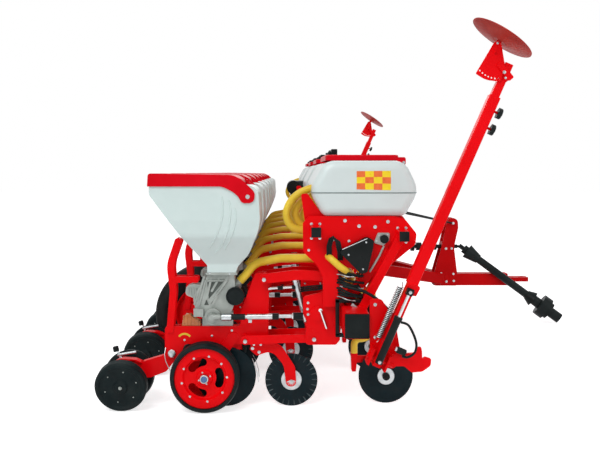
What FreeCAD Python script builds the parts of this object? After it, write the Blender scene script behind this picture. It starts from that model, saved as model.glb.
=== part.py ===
"""Eight-row trailed precision planter with seed hoppers, fertiliser tanks and folding row markers.

Frame: +X is the direction of travel, +Y is the machine's left, +Z is up.
Every section below measures x from the toolbar's centre line and z from the ground; the
finished pieces are moved back by machine_middle_x, which puts the origin on the ground
under the middle of the machine. Units are millimetres.
"""
import FreeCAD, Part
import math
import os

V = FreeCAD.Vector
X_AXIS = V(1, 0, 0)
Y_AXIS = V(0, 1, 0)
Z_AXIS = V(0, 0, 1)

# ---------------------------------------------------------------- driving dimensions
row_count = 8
row_spacing = 700.0
running_gap = 0.5            # radial clearance of a wheel on its axle
pin_gap = 0.3                # radial clearance of a fixed pin in its plate
seat_gap = 0.3               # between two pieces that rest on each other

toolbar_size = 140.0
toolbar_wall = 8.0
toolbar_z = 549.0
toolbar_overhang = 350.0     # of the toolbar past the outermost row

rail_size = 60.0
rail_wall = 5.0
rear_rail_x = -216.0
rear_rail_z = 1045.0
front_rail_x = 280.0
front_rail_z = 1022.0
rail_overhang = 210.0        # of the tank rails past the outermost row

tank_width = 1000.0
tank_wall = 6.0
tank_bottom_z = 1132.0
tank_height = 318.0
tank_rear_x = -255.0
tank_front_x = 382.0

gauge_x = -855.0
gauge_radius = 200.0
gauge_width = 106.0
gauge_inner_y = 45.0
gauge_rim_radius = 174.0
gauge_web_y = 68.0           # of the rim's web, from the tyre's inner face
gauge_slot_inner = 67.0      # kidney slots in the web
gauge_slot_outer = 112.0
gauge_slot_count = 3
gauge_slot_half_angle = 38.0

closing_x = -1338.0
closing_radius = 150.0
closing_width = 70.0
closing_tilt = 12.0
closing_offset_y = 103.0
closing_shoulder = 12.0      # flat tread stops this far from each face

opener_x = -740.0
opener_radius = 175.0
opener_disc_thickness = 4.0
opener_disc_y = 12.0
ground_clearance = 2.0       # of the opener discs as the machine stands

coulter_x = -355.0
coulter_radius = 155.0
coulter_thickness = 5.0

fert_disc_x = 211.0
fert_disc_radius = 163.0
fert_disc_thickness = 5.0
fert_offset_y = 50.0

boot_x = 22.0                # middle of the fertiliser boot behind the disc
boot_top_z = 300.0
boot_foot_z = 190.0
boot_strut_z = 236.0

transport_x = -995.0
transport_radius = 350.0
transport_width = 240.0
transport_rim_radius = 205.0
transport_bolt_radius = 9.0

link_upper_rear = (-514.0, 761.5)
link_upper_front = (-112.0, 773.0)
link_lower_rear = (-623.0, 405.0)
link_lower_front = (-224.0, 416.0)
link_pin_radius = 11.0
link_plate = 8.0
link_y = 72.0                # inner face of a link plate, from the row's middle
link_eye_radius = 27.0

frame_plate = 8.0
frame_y = 20.0               # inner face of a row frame's side plate
head_plate = 10.0
head_y = 84.0                # inner face of a headstock's side plate
clamp_half_width = 70.0

hopper_half_width = 190.0
hopper_neck_half_width = 78.0
hopper_wall = 5.0
hopper_top_z = 1309.0
hopper_neck_z = 800.0
hopper_rear_x = -1162.0
lid_pivot_x = -603.0
lid_pivot_z = 1245.0
lid_nose_radius = 62.0
lid_wall = 5.0
lid_gap = 4.0

meter_half_width = 52.0
meter_port = (-660.0, 740.0)  # where the air hose leaves the meter, upward and forward
hose_radius = 25.0

marker_hinge_x = 109.0
marker_hinge_z = 385.0
marker_lean = 23.8           # of the raised arm, forward from upright, in degrees
marker_arm_length = 1533.0
marker_arm_size = 60.0
marker_tip_length = 190.0
marker_tip_size = 45.0
marker_disc_radius = 180.0
marker_disc_x = 758.0
marker_disc_z = 2086.0
marker_disc_lean = 34.6      # of the disc's axis, forward from upright, in degrees
marker_disc_toe = 3.5        # of the disc's axis, outward, in degrees
marker_gap_y = 50.0          # from the toolbar's end to the middle of the arm
marker_foot_size = 46.0      # narrower bar between the arm's tube and its hinge
marker_foot_length = 440.0
cylinder_radius = 20.0
cylinder_rod_radius = 8.0
cylinder_length = 255.0      # of the barrel, from its lower eye
cylinder_reach = 400.0       # to the rod's eye
knob_radius = 28.0
knob_places = (1365.0, 1460.0)

driveline_z = 680.0
shaft_radius = 18.0
tower_x = 1010.0
tower_foot_length = 214.0
tower_pin_x = 1174.0
tower_pin_z = 905.0
tower_round = 47.0           # radius of the tower's head about its pin
brace_radius = 7.5           # twin stays from the tower to the front rail
brace_rear_y = 620.0
tongue_size = 112.0
tongue_z = 373.0
tongue_front_x = 1693.0
hitch_front_x = 1888.0
hitch_eye_radius = 16.5
hitch_thickness = 40.0
pto_pivot_x = 1262.0
pto_end_x = 2130.0           # furthest point of the shaft's end yoke
pto_end_y = -245.0
pto_tube_radius = 35.0
pto_guard_radius = 70.0
pto_clutch_radius = 100.0
pto_clutch_length = 78.0
pto_yoke_radius = 46.0
cross_pin_radius = 9.0
fork_inner_y = 24.0          # of the PTO shaft's fork ears on the cross
fork_outer_y = 34.0

# ---------------------------------------------------------------- derived places
rows = [(i - (row_count - 1) / 2) * row_spacing for i in range(row_count)]
tank_count = row_count // 2
tank_pitch = 2 * row_spacing
tank_places = [(i - (tank_count - 1) / 2) * tank_pitch for i in range(tank_count)]
toolbar_length = 2 * (rows[-1] + toolbar_overhang)
rail_length = 2 * (rows[-1] + rail_overhang)
transport_y = 2 * row_spacing
half_bar = toolbar_size / 2
marker_y = toolbar_length / 2 + marker_gap_y
opener_z = opener_radius + ground_clearance
tilt = math.radians(closing_tilt)
closing_z = closing_radius * math.cos(tilt) + (closing_width / 2 - closing_shoulder) * math.sin(tilt)
pto_end_z = pto_yoke_radius + 14.0
machine_rear_x = closing_x - closing_radius
machine_middle_x = (machine_rear_x + pto_end_x) / 2


# ---------------------------------------------------------------- shape helpers
side_use = 0.98              # share of a straight side that its two rounded corners may take


def box(x0, x1, y0, y1, z0, z1):
    return Part.makeBox(x1 - x0, y1 - y0, z1 - z0, V(x0, y0, z0))


def rod(start, end, radius):
    """Round bar between two points."""
    start, end = V(*start), V(*end)
    run = end - start
    return Part.makeCylinder(radius, run.Length, start, run)


def across(x, z, radius, y0, y1):
    """Round bar along Y."""
    return Part.makeCylinder(radius, y1 - y0, V(x, y0, z), Y_AXIS)


def rounded_wire(points, to_point):
    """Closed outline; each point is (u, v) or (u, v, corner radius).

    Corners that would meet along a side are made smaller until they leave it some length.
    """
    count = len(points)
    places = [V(p[0], p[1], 0) for p in points]
    radii = [p[2] if len(p) > 2 else 0 for p in points]
    sides = [(places[(i + 1) % count] - places[i]).Length for i in range(count)]
    backs = []
    aheads = []
    reaches = []
    for i, here in enumerate(places):
        back = places[i - 1] - here
        ahead = places[(i + 1) % count] - here
        back.normalize()
        ahead.normalize()
        half_angle = back.getAngle(ahead) / 2
        straight = abs(half_angle - math.pi / 2) < 1e-6
        backs.append(back)
        aheads.append(ahead)
        reaches.append(0 if straight else radii[i] / math.tan(half_angle))
    shares = [1.0] * count
    for i, side in enumerate(sides):
        following = (i + 1) % count
        wanted = reaches[i] + reaches[following]
        if wanted > side_use * side:
            share = side_use * side / wanted
            shares[i] = min(shares[i], share)
            shares[following] = min(shares[following], share)
    corners = []
    for here, back, ahead, reach, radius, share in zip(places, backs, aheads, reaches, radii, shares):
        if reach == 0:
            corners.append((here, here, here))
            continue
        half_angle = back.getAngle(ahead) / 2
        middle = back + ahead
        middle.normalize()
        top = here + middle * (radius * share * (1 / math.sin(half_angle) - 1))
        corners.append((here + back * reach * share, top, here + ahead * reach * share))
    edges = []
    for i, (enter, top, leave) in enumerate(corners):
        if (leave - enter).Length > 1e-6:
            edges.append(Part.Arc(to_point(enter), to_point(top), to_point(leave)).toShape())
        following = corners[(i + 1) % count][0]
        if (following - leave).Length > 1e-6:
            edges.append(Part.LineSegment(to_point(leave), to_point(following)).toShape())
    return Part.Wire(edges)


def side_face(points, y):
    """Outline in the XZ plane at one y."""
    return Part.Face(rounded_wire(points, lambda p: V(p.x, y, p.y)))


def plate(points, y0, y1):
    """Outline in the XZ plane, extruded from y0 to y1."""
    return side_face(points, y0).extrude(V(0, y1 - y0, 0))


def front_plate(points, x0, x1):
    """Outline in the YZ plane, extruded from x0 to x1."""
    face = Part.Face(rounded_wire(points, lambda p: V(x0, p.x, p.y)))
    return face.extrude(V(x1 - x0, 0, 0))


def flat_plate(points, z0, z1):
    """Outline in the XY plane, extruded from z0 to z1."""
    face = Part.Face(rounded_wire(points, lambda p: V(p.x, p.y, z0)))
    return face.extrude(V(0, 0, z1 - z0))


def bar(start, end, width, depth, wall=0, corner=4.0):
    """Rectangular bar or tube between two points; width lies along Y where it can."""
    start, end = V(*start), V(*end)
    run = end - start
    direction = V(run)
    direction.normalize()
    side = Z_AXIS.cross(direction)
    if side.Length < 1e-6:
        side = V(0, 1, 0)
    side.normalize()
    up = direction.cross(side)

    def section(half_width, half_depth, radius):
        outline = [
            (-half_width, -half_depth, radius),
            (half_width, -half_depth, radius),
            (half_width, half_depth, radius),
            (-half_width, half_depth, radius),
        ]
        face = Part.Face(rounded_wire(outline, lambda p: start + side * p.x + up * p.y))
        return face.extrude(run)

    body = section(width / 2, depth / 2, corner)
    if wall:
        body = body.cut(section(width / 2 - wall, depth / 2 - wall, max(corner - wall, 1.0)))
    return body


def turned(profile, x, y, z):
    """Ring or disc about an axis along Y; the profile is a list of (radius, y, corner)."""
    outline = [(p[0], p[1], p[2] if len(p) > 2 else 0) for p in profile]
    face = Part.Face(rounded_wire(outline, lambda p: V(x + p.x, y + p.y, z)))
    return face.revolve(V(x, y, z), Y_AXIS, 360)


def pipe(points, radius, bend):
    """Round hose along straight runs joined by tangent arcs."""
    points = [V(*p) for p in points]
    edges = []
    last = points[0]
    for before, here, after in zip(points, points[1:], points[2:]):
        back = before - here
        ahead = after - here
        room = 0.48 * min(back.Length, ahead.Length)
        back.normalize()
        ahead.normalize()
        half_angle = back.getAngle(ahead) / 2
        if half_angle > math.pi / 2 - 1e-4:
            continue
        arc_radius = min(bend, room * math.tan(half_angle))
        reach = arc_radius / math.tan(half_angle)
        middle = back + ahead
        middle.normalize()
        enter = here + back * reach
        leave = here + ahead * reach
        top = here + middle * (arc_radius / math.sin(half_angle) - arc_radius)
        edges.append(Part.LineSegment(last, enter).toShape())
        edges.append(Part.Arc(enter, top, leave).toShape())
        last = leave
    edges.append(Part.LineSegment(last, points[-1]).toShape())
    path = Part.Wire(edges)
    start = points[1] - points[0]
    ring = Part.Wire([Part.Circle(points[0], start, radius).toShape()])
    return path.makePipeShell([ring], True, False)


def fused(pieces):
    """One solid out of pieces that touch."""
    first = pieces[0]
    if len(pieces) == 1:
        return first
    return first.multiFuse(pieces[1:]).removeSplitter()


def moved(shape, x=0.0, y=0.0, z=0.0):
    shape = shape.copy()
    shape.translate(V(x, y, z))
    return shape


def mirrored(shape):
    """The same piece on the other side of the machine."""
    return shape.mirror(V(0, 0, 0), Y_AXIS)


def tilted(shape, centre, axis, degrees):
    shape = shape.copy()
    shape.rotate(V(*centre), V(*axis), degrees)
    return shape


def solids_of(shapes):
    found = []
    for shape in shapes:
        found.extend(shape.Solids)
    return found


def save(name, shapes):
    """One STEP file of separate solids, in the frame whose origin is under the machine's middle."""
    compound = Part.makeCompound(solids_of(shapes))
    compound.translate(V(-machine_middle_x, 0, 0))
    compound.exportStep(os.path.join("parts", name + ".step"))


def toolbar_envelope():
    """Outside of the toolbar, to trim what is welded to its faces."""
    return box(-half_bar, half_bar, -toolbar_length, toolbar_length,
               toolbar_z - half_bar, toolbar_z + half_bar)


# ---------------------------------------------------------------- main frame
support_places = (row_spacing, 2 * row_spacing)
end_support_y = toolbar_length / 2 - 234.0
cradle_inset = 70.0
cradle_plate = 8.0
support_leg = 80.0
brace_rear_x = front_rail_x + 30
brace_rear_z = front_rail_z + 74


def cradle_outline():
    """Side view of a tank cradle: it follows the tank's underside and wraps both rails."""
    seat_z = tank_bottom_z - 0.5
    return [
        (rear_rail_x - 50, rear_rail_z - 45, 20),
        (front_rail_x + 60, front_rail_z - 45, 25),
        (front_rail_x + 60, front_rail_z + 40, 30),
        (front_rail_x + 10, seat_z, 20),
        (rear_rail_x + 46, seat_z, 10),
        (tank_rear_x - 8, seat_z + 130, 15),
        (tank_rear_x - 45, seat_z + 125, 12),
        (rear_rail_x - 60, rear_rail_z + 40, 30),
    ]


def make_cradle(y):
    return plate(cradle_outline(), y - cradle_plate / 2, y + cradle_plate / 2)


def make_support(y):
    """Two braces that stand on the toolbar and carry the rails."""
    foot_z = toolbar_z + half_bar - 20
    rear = bar((-42, y, foot_z), (rear_rail_x + 20, y, rear_rail_z), 60, 50, 4)
    front = bar((45, y, foot_z), (front_rail_x - 5, y, front_rail_z), support_leg, 50, 4)
    return [rear, front]


def make_end_plate(y):
    """Side plate that wraps both rails at each end of the machine and reaches down to the toolbar."""
    seat_z = tank_bottom_z - 0.5
    outline = [
        (rear_rail_x - 74, seat_z - 40, 20),
        (rear_rail_x - 72, 925, 40),
        (rear_rail_x + 6, 850, 60),
        (rear_rail_x + 40, 780, 60),
        (rear_rail_x + 44, toolbar_z + half_bar - 10, 5),
        (-half_bar + 20, toolbar_z + half_bar - 10, 5),
        (-half_bar + 4, 700, 20),
        (-half_bar, 845, 40),
        (60, 812, 30),
        (170, 812, 60),
        (front_rail_x + 78, 968, 34),
        (front_rail_x + 86, 1030, 34),
        (front_rail_x + 20, 1112, 40),
        (front_rail_x - 40, seat_z, 10),
        (rear_rail_x - 40, seat_z, 10),
    ]
    return plate(outline, y - 5, y + 5)


def make_end_brace(y):
    """Long brace from the foot of the end plate up to the front rail."""
    lane = y - 30
    return bar((-half_bar + 25, lane, toolbar_z + half_bar + 12),
               (front_rail_x - 18, lane, front_rail_z - 15), 50, 62, 4)


def make_brace_lug(side):
    """Lug on the front rail that holds the front end of a twin stay."""
    lug = plate([
        (front_rail_x - 20, front_rail_z + rail_size / 2 - 2, 4),
        (front_rail_x + 25, front_rail_z + rail_size / 2 - 2, 4),
        (brace_rear_x, brace_rear_z - 14, 12),
        (brace_rear_x, brace_rear_z + 16, 12),
        (brace_rear_x - 30, brace_rear_z + 16, 12),
    ], side * brace_rear_y - 8, side * brace_rear_y + 8)
    return lug


def make_main_frame():
    half_length = toolbar_length / 2
    toolbar = bar((0, -half_length, toolbar_z), (0, half_length, toolbar_z),
                  toolbar_size, toolbar_size, toolbar_wall, 14)
    pieces = [toolbar]
    for x, z in ((rear_rail_x, rear_rail_z), (front_rail_x, front_rail_z)):
        pieces.append(bar((x, -rail_length / 2, z), (x, rail_length / 2, z),
                          rail_size, rail_size, rail_wall, 6))
    for centre in tank_places:
        for side in (-1, 1):
            pieces.append(make_cradle(centre + side * (tank_width / 2 - cradle_inset)))
    for place in support_places:
        for y in (-place, place):
            pieces.extend(make_support(y))
    for side in (-1, 1):
        pieces.append(make_end_plate(side * end_support_y))
        pieces.extend(make_support(side * end_support_y)[1:])
        end_brace = make_end_brace(end_support_y)
        pieces.append(end_brace if side > 0 else mirrored(end_brace))
        pieces.append(make_brace_lug(side))
    return [fused(pieces)]


# ---------------------------------------------------------------- drawbar
def make_drawbar():
    arm_rear_y = 560.0
    plates = []
    pieces = [
        bar((tower_x - 10, 0, tongue_z), (tongue_front_x, 0, tongue_z), tongue_size, tongue_size, 8, 8),
        box(tongue_front_x - 60, hitch_front_x, 6 - tongue_size / 2, tongue_size / 2 - 6,
            tongue_z - hitch_thickness / 2, tongue_z + hitch_thickness / 2),
    ]
    for side in (-1, 1):
        pieces.append(bar((half_bar, side * arm_rear_y, toolbar_z + 40),
                          (tower_x + 60, side * 30, tongue_z + 8), 90, 100, 7, 8))
        plates.append(plate([
            (tower_x - 10, tongue_z - tongue_size / 2, 15),
            (tower_x + tower_foot_length - 10, tongue_z - tongue_size / 2, 15),
            (tower_x + tower_foot_length - 10, tongue_z + tongue_size / 2 + 14, 20),
            (tower_pin_x + 12, driveline_z, 60),
            (tower_pin_x + tower_round + 4, tower_pin_z - tower_round, 40),
            (tower_pin_x + tower_round, tower_pin_z + tower_round, tower_round),
            (tower_pin_x - tower_round, tower_pin_z + tower_round, tower_round),
            (tower_x + 58, driveline_z, 60),
            (tower_x - 10, tongue_z + tongue_size / 2 + 14, 20),
        ], side * 58 - 6, side * 58 + 6))
        stay_start = V(tower_pin_x - 6, side * 70, tower_pin_z)
        stay_end = V(brace_rear_x + 5, side * brace_rear_y, brace_rear_z)
        pieces.append(rod(stay_start, stay_end, brace_radius))
    pieces.extend(plates)
    pieces.append(box(tower_x + 65, tower_x + 130, -58, 58, driveline_z - 60, driveline_z + 50))
    pieces.append(across(tower_pin_x, tower_pin_z, 13, -80, 80))
    body = fused(pieces)
    body = body.cut(toolbar_envelope())
    eye = Part.makeCylinder(hitch_eye_radius, 100, V(hitch_front_x - 50, 0, tongue_z - 50), Z_AXIS)
    shaft_bore = Part.makeCylinder(shaft_radius + running_gap, tower_foot_length,
                                   V(tower_x, 0, driveline_z), X_AXIS)
    return [body.cut(eye).cut(shaft_bore)]


# ---------------------------------------------------------------- fertiliser tanks and lids
tank_mouth_rear = -110.0
tank_mouth_front = 240.0
tank_mouth_half = 280.0
tank_lid_half = 330.0
tank_lid_pivot = (tank_front_x - 66.0, tank_bottom_z + tank_height - 8.0)


def tank_outline():
    top = tank_bottom_z + tank_height
    belt = tank_bottom_z + 145
    return [
        (tank_rear_x + 82, tank_bottom_z, 45),
        (tank_front_x - 82, tank_bottom_z, 45),
        (tank_front_x, belt, 120),
        (tank_front_x - 82, top, 95),
        (tank_rear_x + 95, top, 95),
        (tank_rear_x, belt, 120),
    ]


def make_tank(y):
    half = tank_width / 2
    face = side_face(tank_outline(), y - half)
    outer = face.extrude(V(0, tank_width, 0))
    rims = [edge for edge in outer.Edges
            if abs(edge.BoundBox.YMin - edge.BoundBox.YMax) < 1e-6]
    outer = outer.makeFillet(50, rims)
    inner_face = face.makeOffset2D(-tank_wall)
    inner_face.translate(V(0, tank_wall, 0))
    inner = inner_face.extrude(V(0, tank_width - 2 * tank_wall, 0))
    rims = [edge for edge in inner.Edges
            if abs(edge.BoundBox.YMin - edge.BoundBox.YMax) < 1e-6]
    inner = inner.makeFillet(50 - tank_wall, rims)
    top = tank_bottom_z + tank_height
    mouth = flat_plate([
        (tank_mouth_rear, y - tank_mouth_half, 40),
        (tank_mouth_front, y - tank_mouth_half, 40),
        (tank_mouth_front, y + tank_mouth_half, 40),
        (tank_mouth_rear, y + tank_mouth_half, 40),
    ], top - 60, top + 60)
    shell = outer.cut(inner).cut(mouth)
    ears = []
    for side in (-1, 1):
        ear_y = y + side * (tank_lid_half - 30)
        ears.append(plate([
            (tank_lid_pivot[0] - 22, top - 40, 4),
            (tank_lid_pivot[0] + 14, top - 60, 4),
            (tank_lid_pivot[0] + 12, tank_lid_pivot[1] + 10, 8),
            (tank_lid_pivot[0] - 12, tank_lid_pivot[1] + 10, 8),
        ], ear_y - 6, ear_y + 6).cut(inner))
        ears.append(across(tank_lid_pivot[0], tank_lid_pivot[1], 6, ear_y - 20, ear_y + 20))
    return fused([shell] + ears)


def make_tank_lid(y):
    top = tank_bottom_z + tank_height
    rear = tank_mouth_rear - 42
    front = tank_mouth_front + 50
    under = top + lid_gap
    slab = flat_plate([
        (rear, y - tank_lid_half, 50),
        (front, y - tank_lid_half, 50),
        (front, y + tank_lid_half, 50),
        (rear, y + tank_lid_half, 50),
    ], under, under + 34)
    upper = [edge for edge in slab.Edges if edge.BoundBox.ZMin > under + 33]
    slab = slab.makeFillet(10, upper)
    hollow = flat_plate([
        (rear + 8, y - tank_lid_half + 8, 42),
        (front - 8, y - tank_lid_half + 8, 42),
        (front - 8, y + tank_lid_half - 8, 42),
        (rear + 8, y + tank_lid_half - 8, 42),
    ], under - 1, under + 28)
    slab = slab.cut(hollow)
    pieces = [slab]
    for side in (-1, 1):
        ear_y = y + side * (tank_lid_half - 14)
        pieces.append(plate([
            (front - 18, under + 20, 4),
            (front - 18, under, 4),
            (tank_lid_pivot[0] - 13, tank_lid_pivot[1] - 13, 12),
            (tank_lid_pivot[0] + 13, tank_lid_pivot[1] - 13, 12),
            (tank_lid_pivot[0] + 13, under + 20, 12),
        ], ear_y - 4, ear_y + 4))
    lid = fused(pieces)
    hole = across(tank_lid_pivot[0], tank_lid_pivot[1], 6 + running_gap, y - tank_width, y + tank_width)
    return [lid.cut(hole)]


# ---------------------------------------------------------------- row unit: headstock and links
depth_boss = (-206.0, 565.0)  # x and z of the round boss on the right side plate
spring_foot = (-266.0, 500.0)
spring_head = (-339.0, 771.0)  # just below the upper link's web


def make_headstock(y):
    outline = [
        (-278, 384, 24),
        (-96, 384, 20),
        (-half_bar - 4, 412, 15),
        (-half_bar - 4, 830, 20),
        (-100, 866, 20),
        (-150, 866, 20),
        (-178, 780, 60),
        (-172, 690, 30),
        (-288, 664, 20),
        (-288, 560, 20),
        (-266, 520, 30),
    ]
    pieces = []
    for side in (-1, 1):
        y0 = side * (head_y + head_plate / 2)
        side_plate = plate(outline, y0 - head_plate / 2, y0 + head_plate / 2)
        pieces.append(side_plate)
    pieces.append(box(-half_bar - 14, -half_bar, -head_y - head_plate, head_y + head_plate, 455, 660))
    pieces.append(across(-150, 660, 22, -head_y - 1, head_y + 1))
    outer_y = head_y + head_plate
    pieces.append(across(depth_boss[0], depth_boss[1], 40, -outer_y - 12, -outer_y + 1))
    pieces.append(across(spring_foot[0], spring_foot[1], 12, -head_y - 1, head_y + 1))
    pieces.append(rod((spring_foot[0], -36, spring_foot[1]), (spring_head[0], -36, spring_head[1]), 16))
    pieces.append(rod((spring_foot[0], 30, spring_foot[1]), (spring_head[0], 30, spring_head[1]), 10))
    body = fused(pieces)
    for x, z in (link_upper_front, link_lower_front):
        body = body.cut(across(x, z, link_pin_radius + pin_gap, -120, 120))
    clamp = [box(half_bar, half_bar + 12, -clamp_half_width, clamp_half_width,
                 toolbar_z - 105, toolbar_z + 105)]
    for side in (-1, 1):
        for level in (-1, 1):
            z = toolbar_z + level * (half_bar + 12)
            clamp.append(rod((-half_bar - 14, side * 50, z), (half_bar + 34, side * 50, z), 9))
    body = fused([body] + clamp)
    return moved(body, y=y)


def link_side(rear, front, arch, y0, y1):
    """One side plate of a link, arched upward between its two eyes."""
    mid_x = (rear[0] + front[0]) / 2
    mid_z = (rear[1] + front[1]) / 2 + arch
    half = link_eye_radius
    outline = [
        (rear[0] - half, rear[1] - half, half),
        (rear[0] + half + 6, rear[1] - half + 4, 10),
        (mid_x, mid_z - half + 6, 300),
        (front[0] - half - 6, front[1] - half + 4, 10),
        (front[0] + half, front[1] - half, half),
        (front[0] + half, front[1] + half, half),
        (mid_x, mid_z + half + arch, 500),
        (rear[0] - half, rear[1] + half, half),
    ]
    return plate(outline, y0, y1)


def make_link(rear, front, arch, web_low):
    pieces = []
    outer = link_y + link_plate
    pieces.append(link_side(rear, front, arch, -outer, -link_y))
    pieces.append(link_side(rear, front, arch, link_y, outer))
    mid_x = (rear[0] + front[0]) / 2
    mid_z = (rear[1] + front[1]) / 2
    web_z = mid_z + (-14 if web_low else 14)
    pieces.append(box(mid_x - 40, mid_x + 90, -link_y - 1, link_y + 1, web_z - 4, web_z + 4))
    pin_reach = head_y + head_plate + 12
    for x, z in (rear, front):
        pieces.append(across(x, z, link_pin_radius, -pin_reach, pin_reach))
    return fused(pieces)


def make_links(y):
    upper = make_link(link_upper_rear, link_upper_front, 12, False)
    lower = make_link(link_lower_rear, link_lower_front, 0, True)
    return [moved(upper, y=y), moved(lower, y=y)]


# ---------------------------------------------------------------- row unit: frame
beam_top_z = 477.0
beam_bottom_z = 372.0
closing_pivot = (-1058.0, 319.0)
closing_pin_radius = 12.0
closing_strap = 50.0         # width of the arched strap above the closing wheels
pin_end_y = frame_y + frame_plate + 8.0
gauge_pivot = (-700.0, 412.0)


def frame_outline():
    return [
        (closing_pivot[0] - 42, closing_pivot[1] - 36, 34),
        (closing_pivot[0] + 36, closing_pivot[1] - 36, 34),
        (closing_pivot[0] + 75, beam_bottom_z, 30),
        (-520, beam_bottom_z, 30),
        (-491, 420, 30),
        (-486, 790, 26),
        (-568, 790, 30),
        (-655, 560, 60),
        (-655, beam_top_z, 20),
        (closing_pivot[0] - 42, beam_top_z, 20),
    ]


def make_row_frame(y):
    outer = frame_y + frame_plate
    pieces = [
        plate(frame_outline(), -outer, -frame_y),
        plate(frame_outline(), frame_y, outer),
        box(-1000, -660, -outer, outer, beam_top_z - 10, beam_top_z),
        box(-500, -492, -outer, outer, 430, 760),
        box(-1090, -1080, -outer, outer, 385, beam_top_z),
        plate([
            (-770, 250, 10), (opener_x - 22, opener_z - 22, 20), (opener_x + 22, opener_z - 22, 20),
            (-640, beam_bottom_z + 20, 10), (-640, 430, 5), (-780, 430, 5),
        ], -6, 6),
        box(-780, -640, -outer, outer, 420, 430),
        across(opener_x, opener_z, 12, -opener_disc_y - 14, opener_disc_y + 14),
    ]
    for x, z in (link_upper_rear, link_lower_rear):
        pieces.append(across(x, z, 24, -link_y + seat_gap, link_y - seat_gap))
    body = fused(pieces)
    for x, z in (link_upper_rear, link_lower_rear):
        body = body.cut(across(x, z, link_pin_radius + pin_gap, -120, 120))
    body = body.cut(across(closing_pivot[0], closing_pivot[1], closing_pin_radius + pin_gap, -60, 60))
    guard = []
    for side in (-1, 1):
        y0 = side * (outer + 4)
        guard.append(plate([
            (-1090, 440, 10), (-1050, 440, 10), (-1030, 690, 120), (-1046, 840, 200),
            (-995, 985, 16), (-1036, 1000, 16), (-1090, 840, 200), (-1070, 690, 120),
        ], y0 - 4, y0 + 4))
        guard.append(plate([
            (-1046, 734, 5), (-902, 734, 10), (-902, 770, 10), (-1046, 770, 5),
        ], y0 - 4, y0 + 4))
    guard.append(across(-1016, 985, 8, -outer - 4, outer + 4))
    return moved(fused([body] + guard), y=y)


# ---------------------------------------------------------------- wheel arms
gauge_arm_y = frame_y + frame_plate
gauge_arm_plate = 8.0
gauge_axle_radius = 15.0


def strap(start, end, width, y0, y1):
    """Flat arm with round ends."""
    a, b = V(start[0], 0, start[1]), V(end[0], 0, end[1])
    run = b - a
    run.normalize()
    side = V(-run.z, 0, run.x) * (width / 2)
    reach = run * (width / 2)
    corners = [a - side - reach, b - side + reach, b + side + reach, a + side - reach]
    radius = width / 2 * 0.98
    return plate([(p.x, p.z, radius) for p in corners], y0, y1)


def make_gauge_arms(y):
    hub_y = gauge_inner_y + gauge_width * 0.66
    shapes = []
    for side in (-1, 1):
        y0 = side * (gauge_arm_y + gauge_arm_plate / 2)
        arm = strap(gauge_pivot, (gauge_x, gauge_radius), 62,
                    y0 - gauge_arm_plate / 2, y0 + gauge_arm_plate / 2)
        inner, outer = sorted((side * gauge_arm_y, side * (hub_y + 22)))
        axle = across(gauge_x, gauge_radius, gauge_axle_radius, inner, outer)
        shapes.append(moved(fused([arm, axle]), y=y))
    return shapes


def make_closing_arm(y):
    """Boxed arm from the row frame's rear and the arched strap above the two closing wheels."""
    strap_half = closing_strap / 2
    arm = plate([
        (closing_pivot[0] + 28, closing_pivot[1] - 30, 26),
        (closing_pivot[0] + 28, closing_pivot[1] + 28, 26),
        (closing_pivot[0] - 34, closing_pivot[1] + 22, 26),
        (closing_x + 230, closing_z + 152, 30),
        (closing_x + 95, closing_z + 112, 20),
        (closing_x + 95, closing_z + 22, 20),
        (closing_x + 150, closing_z + 20, 30),
        (closing_x + 245, closing_z + 56, 40),
    ], -frame_y + 1, frame_y - 1)
    arch = plate([
        (closing_x + 98, closing_z + 112, 4), (closing_x + 60, closing_z + 128, 50),
        (closing_x - 30, closing_z + 134, 60), (closing_x - 84, closing_z + 98, 30),
        (closing_x - 82, closing_z + 62, 3), (closing_x - 74, closing_z + 62, 3),
        (closing_x - 76, closing_z + 94, 26), (closing_x - 28, closing_z + 126, 54),
        (closing_x + 58, closing_z + 120, 44), (closing_x + 98, closing_z + 104, 4),
    ], -strap_half, strap_half)
    hanger = plate([
        (closing_x - 24, closing_z - 24, 23), (closing_x + 24, closing_z - 24, 23),
        (closing_x + 60, closing_z + 40, 40), (closing_x + 97, closing_z + 60, 4),
        (closing_x + 97, closing_z + 110, 4), (closing_x + 40, closing_z + 126, 10),
        (closing_x - 26, closing_z + 128, 10),
    ], -9, 9)
    pieces = [
        arm, arch, hanger,
        across(closing_pivot[0], closing_pivot[1], closing_pin_radius, -pin_end_y, pin_end_y),
    ]
    for side in (-1, 1):
        inner, outer = sorted((-side * closing_offset_y, side * closing_width * 0.3))
        axle = across(closing_x, closing_z, 10, inner, outer)
        axle = tilted(axle, (closing_x, 0, closing_z), (1, 0, 0), -side * closing_tilt)
        pieces.append(moved(axle, y=side * closing_offset_y))
    return moved(fused(pieces), y=y)


def make_coulter_arm(y):
    arm = plate([
        (-600, 342, 14), (-560, 306, 14), (-470, 335, 60), (-400, 250, 80),
        (coulter_x - 30, coulter_radius - 30, 28), (coulter_x + 30, coulter_radius - 30, 28),
        (coulter_x + 22, 240, 60), (-420, 375, 70), (-590, 392, 14),
    ], -39, -29)
    axle = across(coulter_x, coulter_radius, 11, -42, 16)
    collar = across(coulter_x, coulter_radius, 18, -30, -14.5)
    bolts = [across(x, 372, 9, -44, -frame_y - frame_plate) for x in (-575, -535)]
    return moved(fused([arm, axle, collar] + bolts), y=y)


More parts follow.
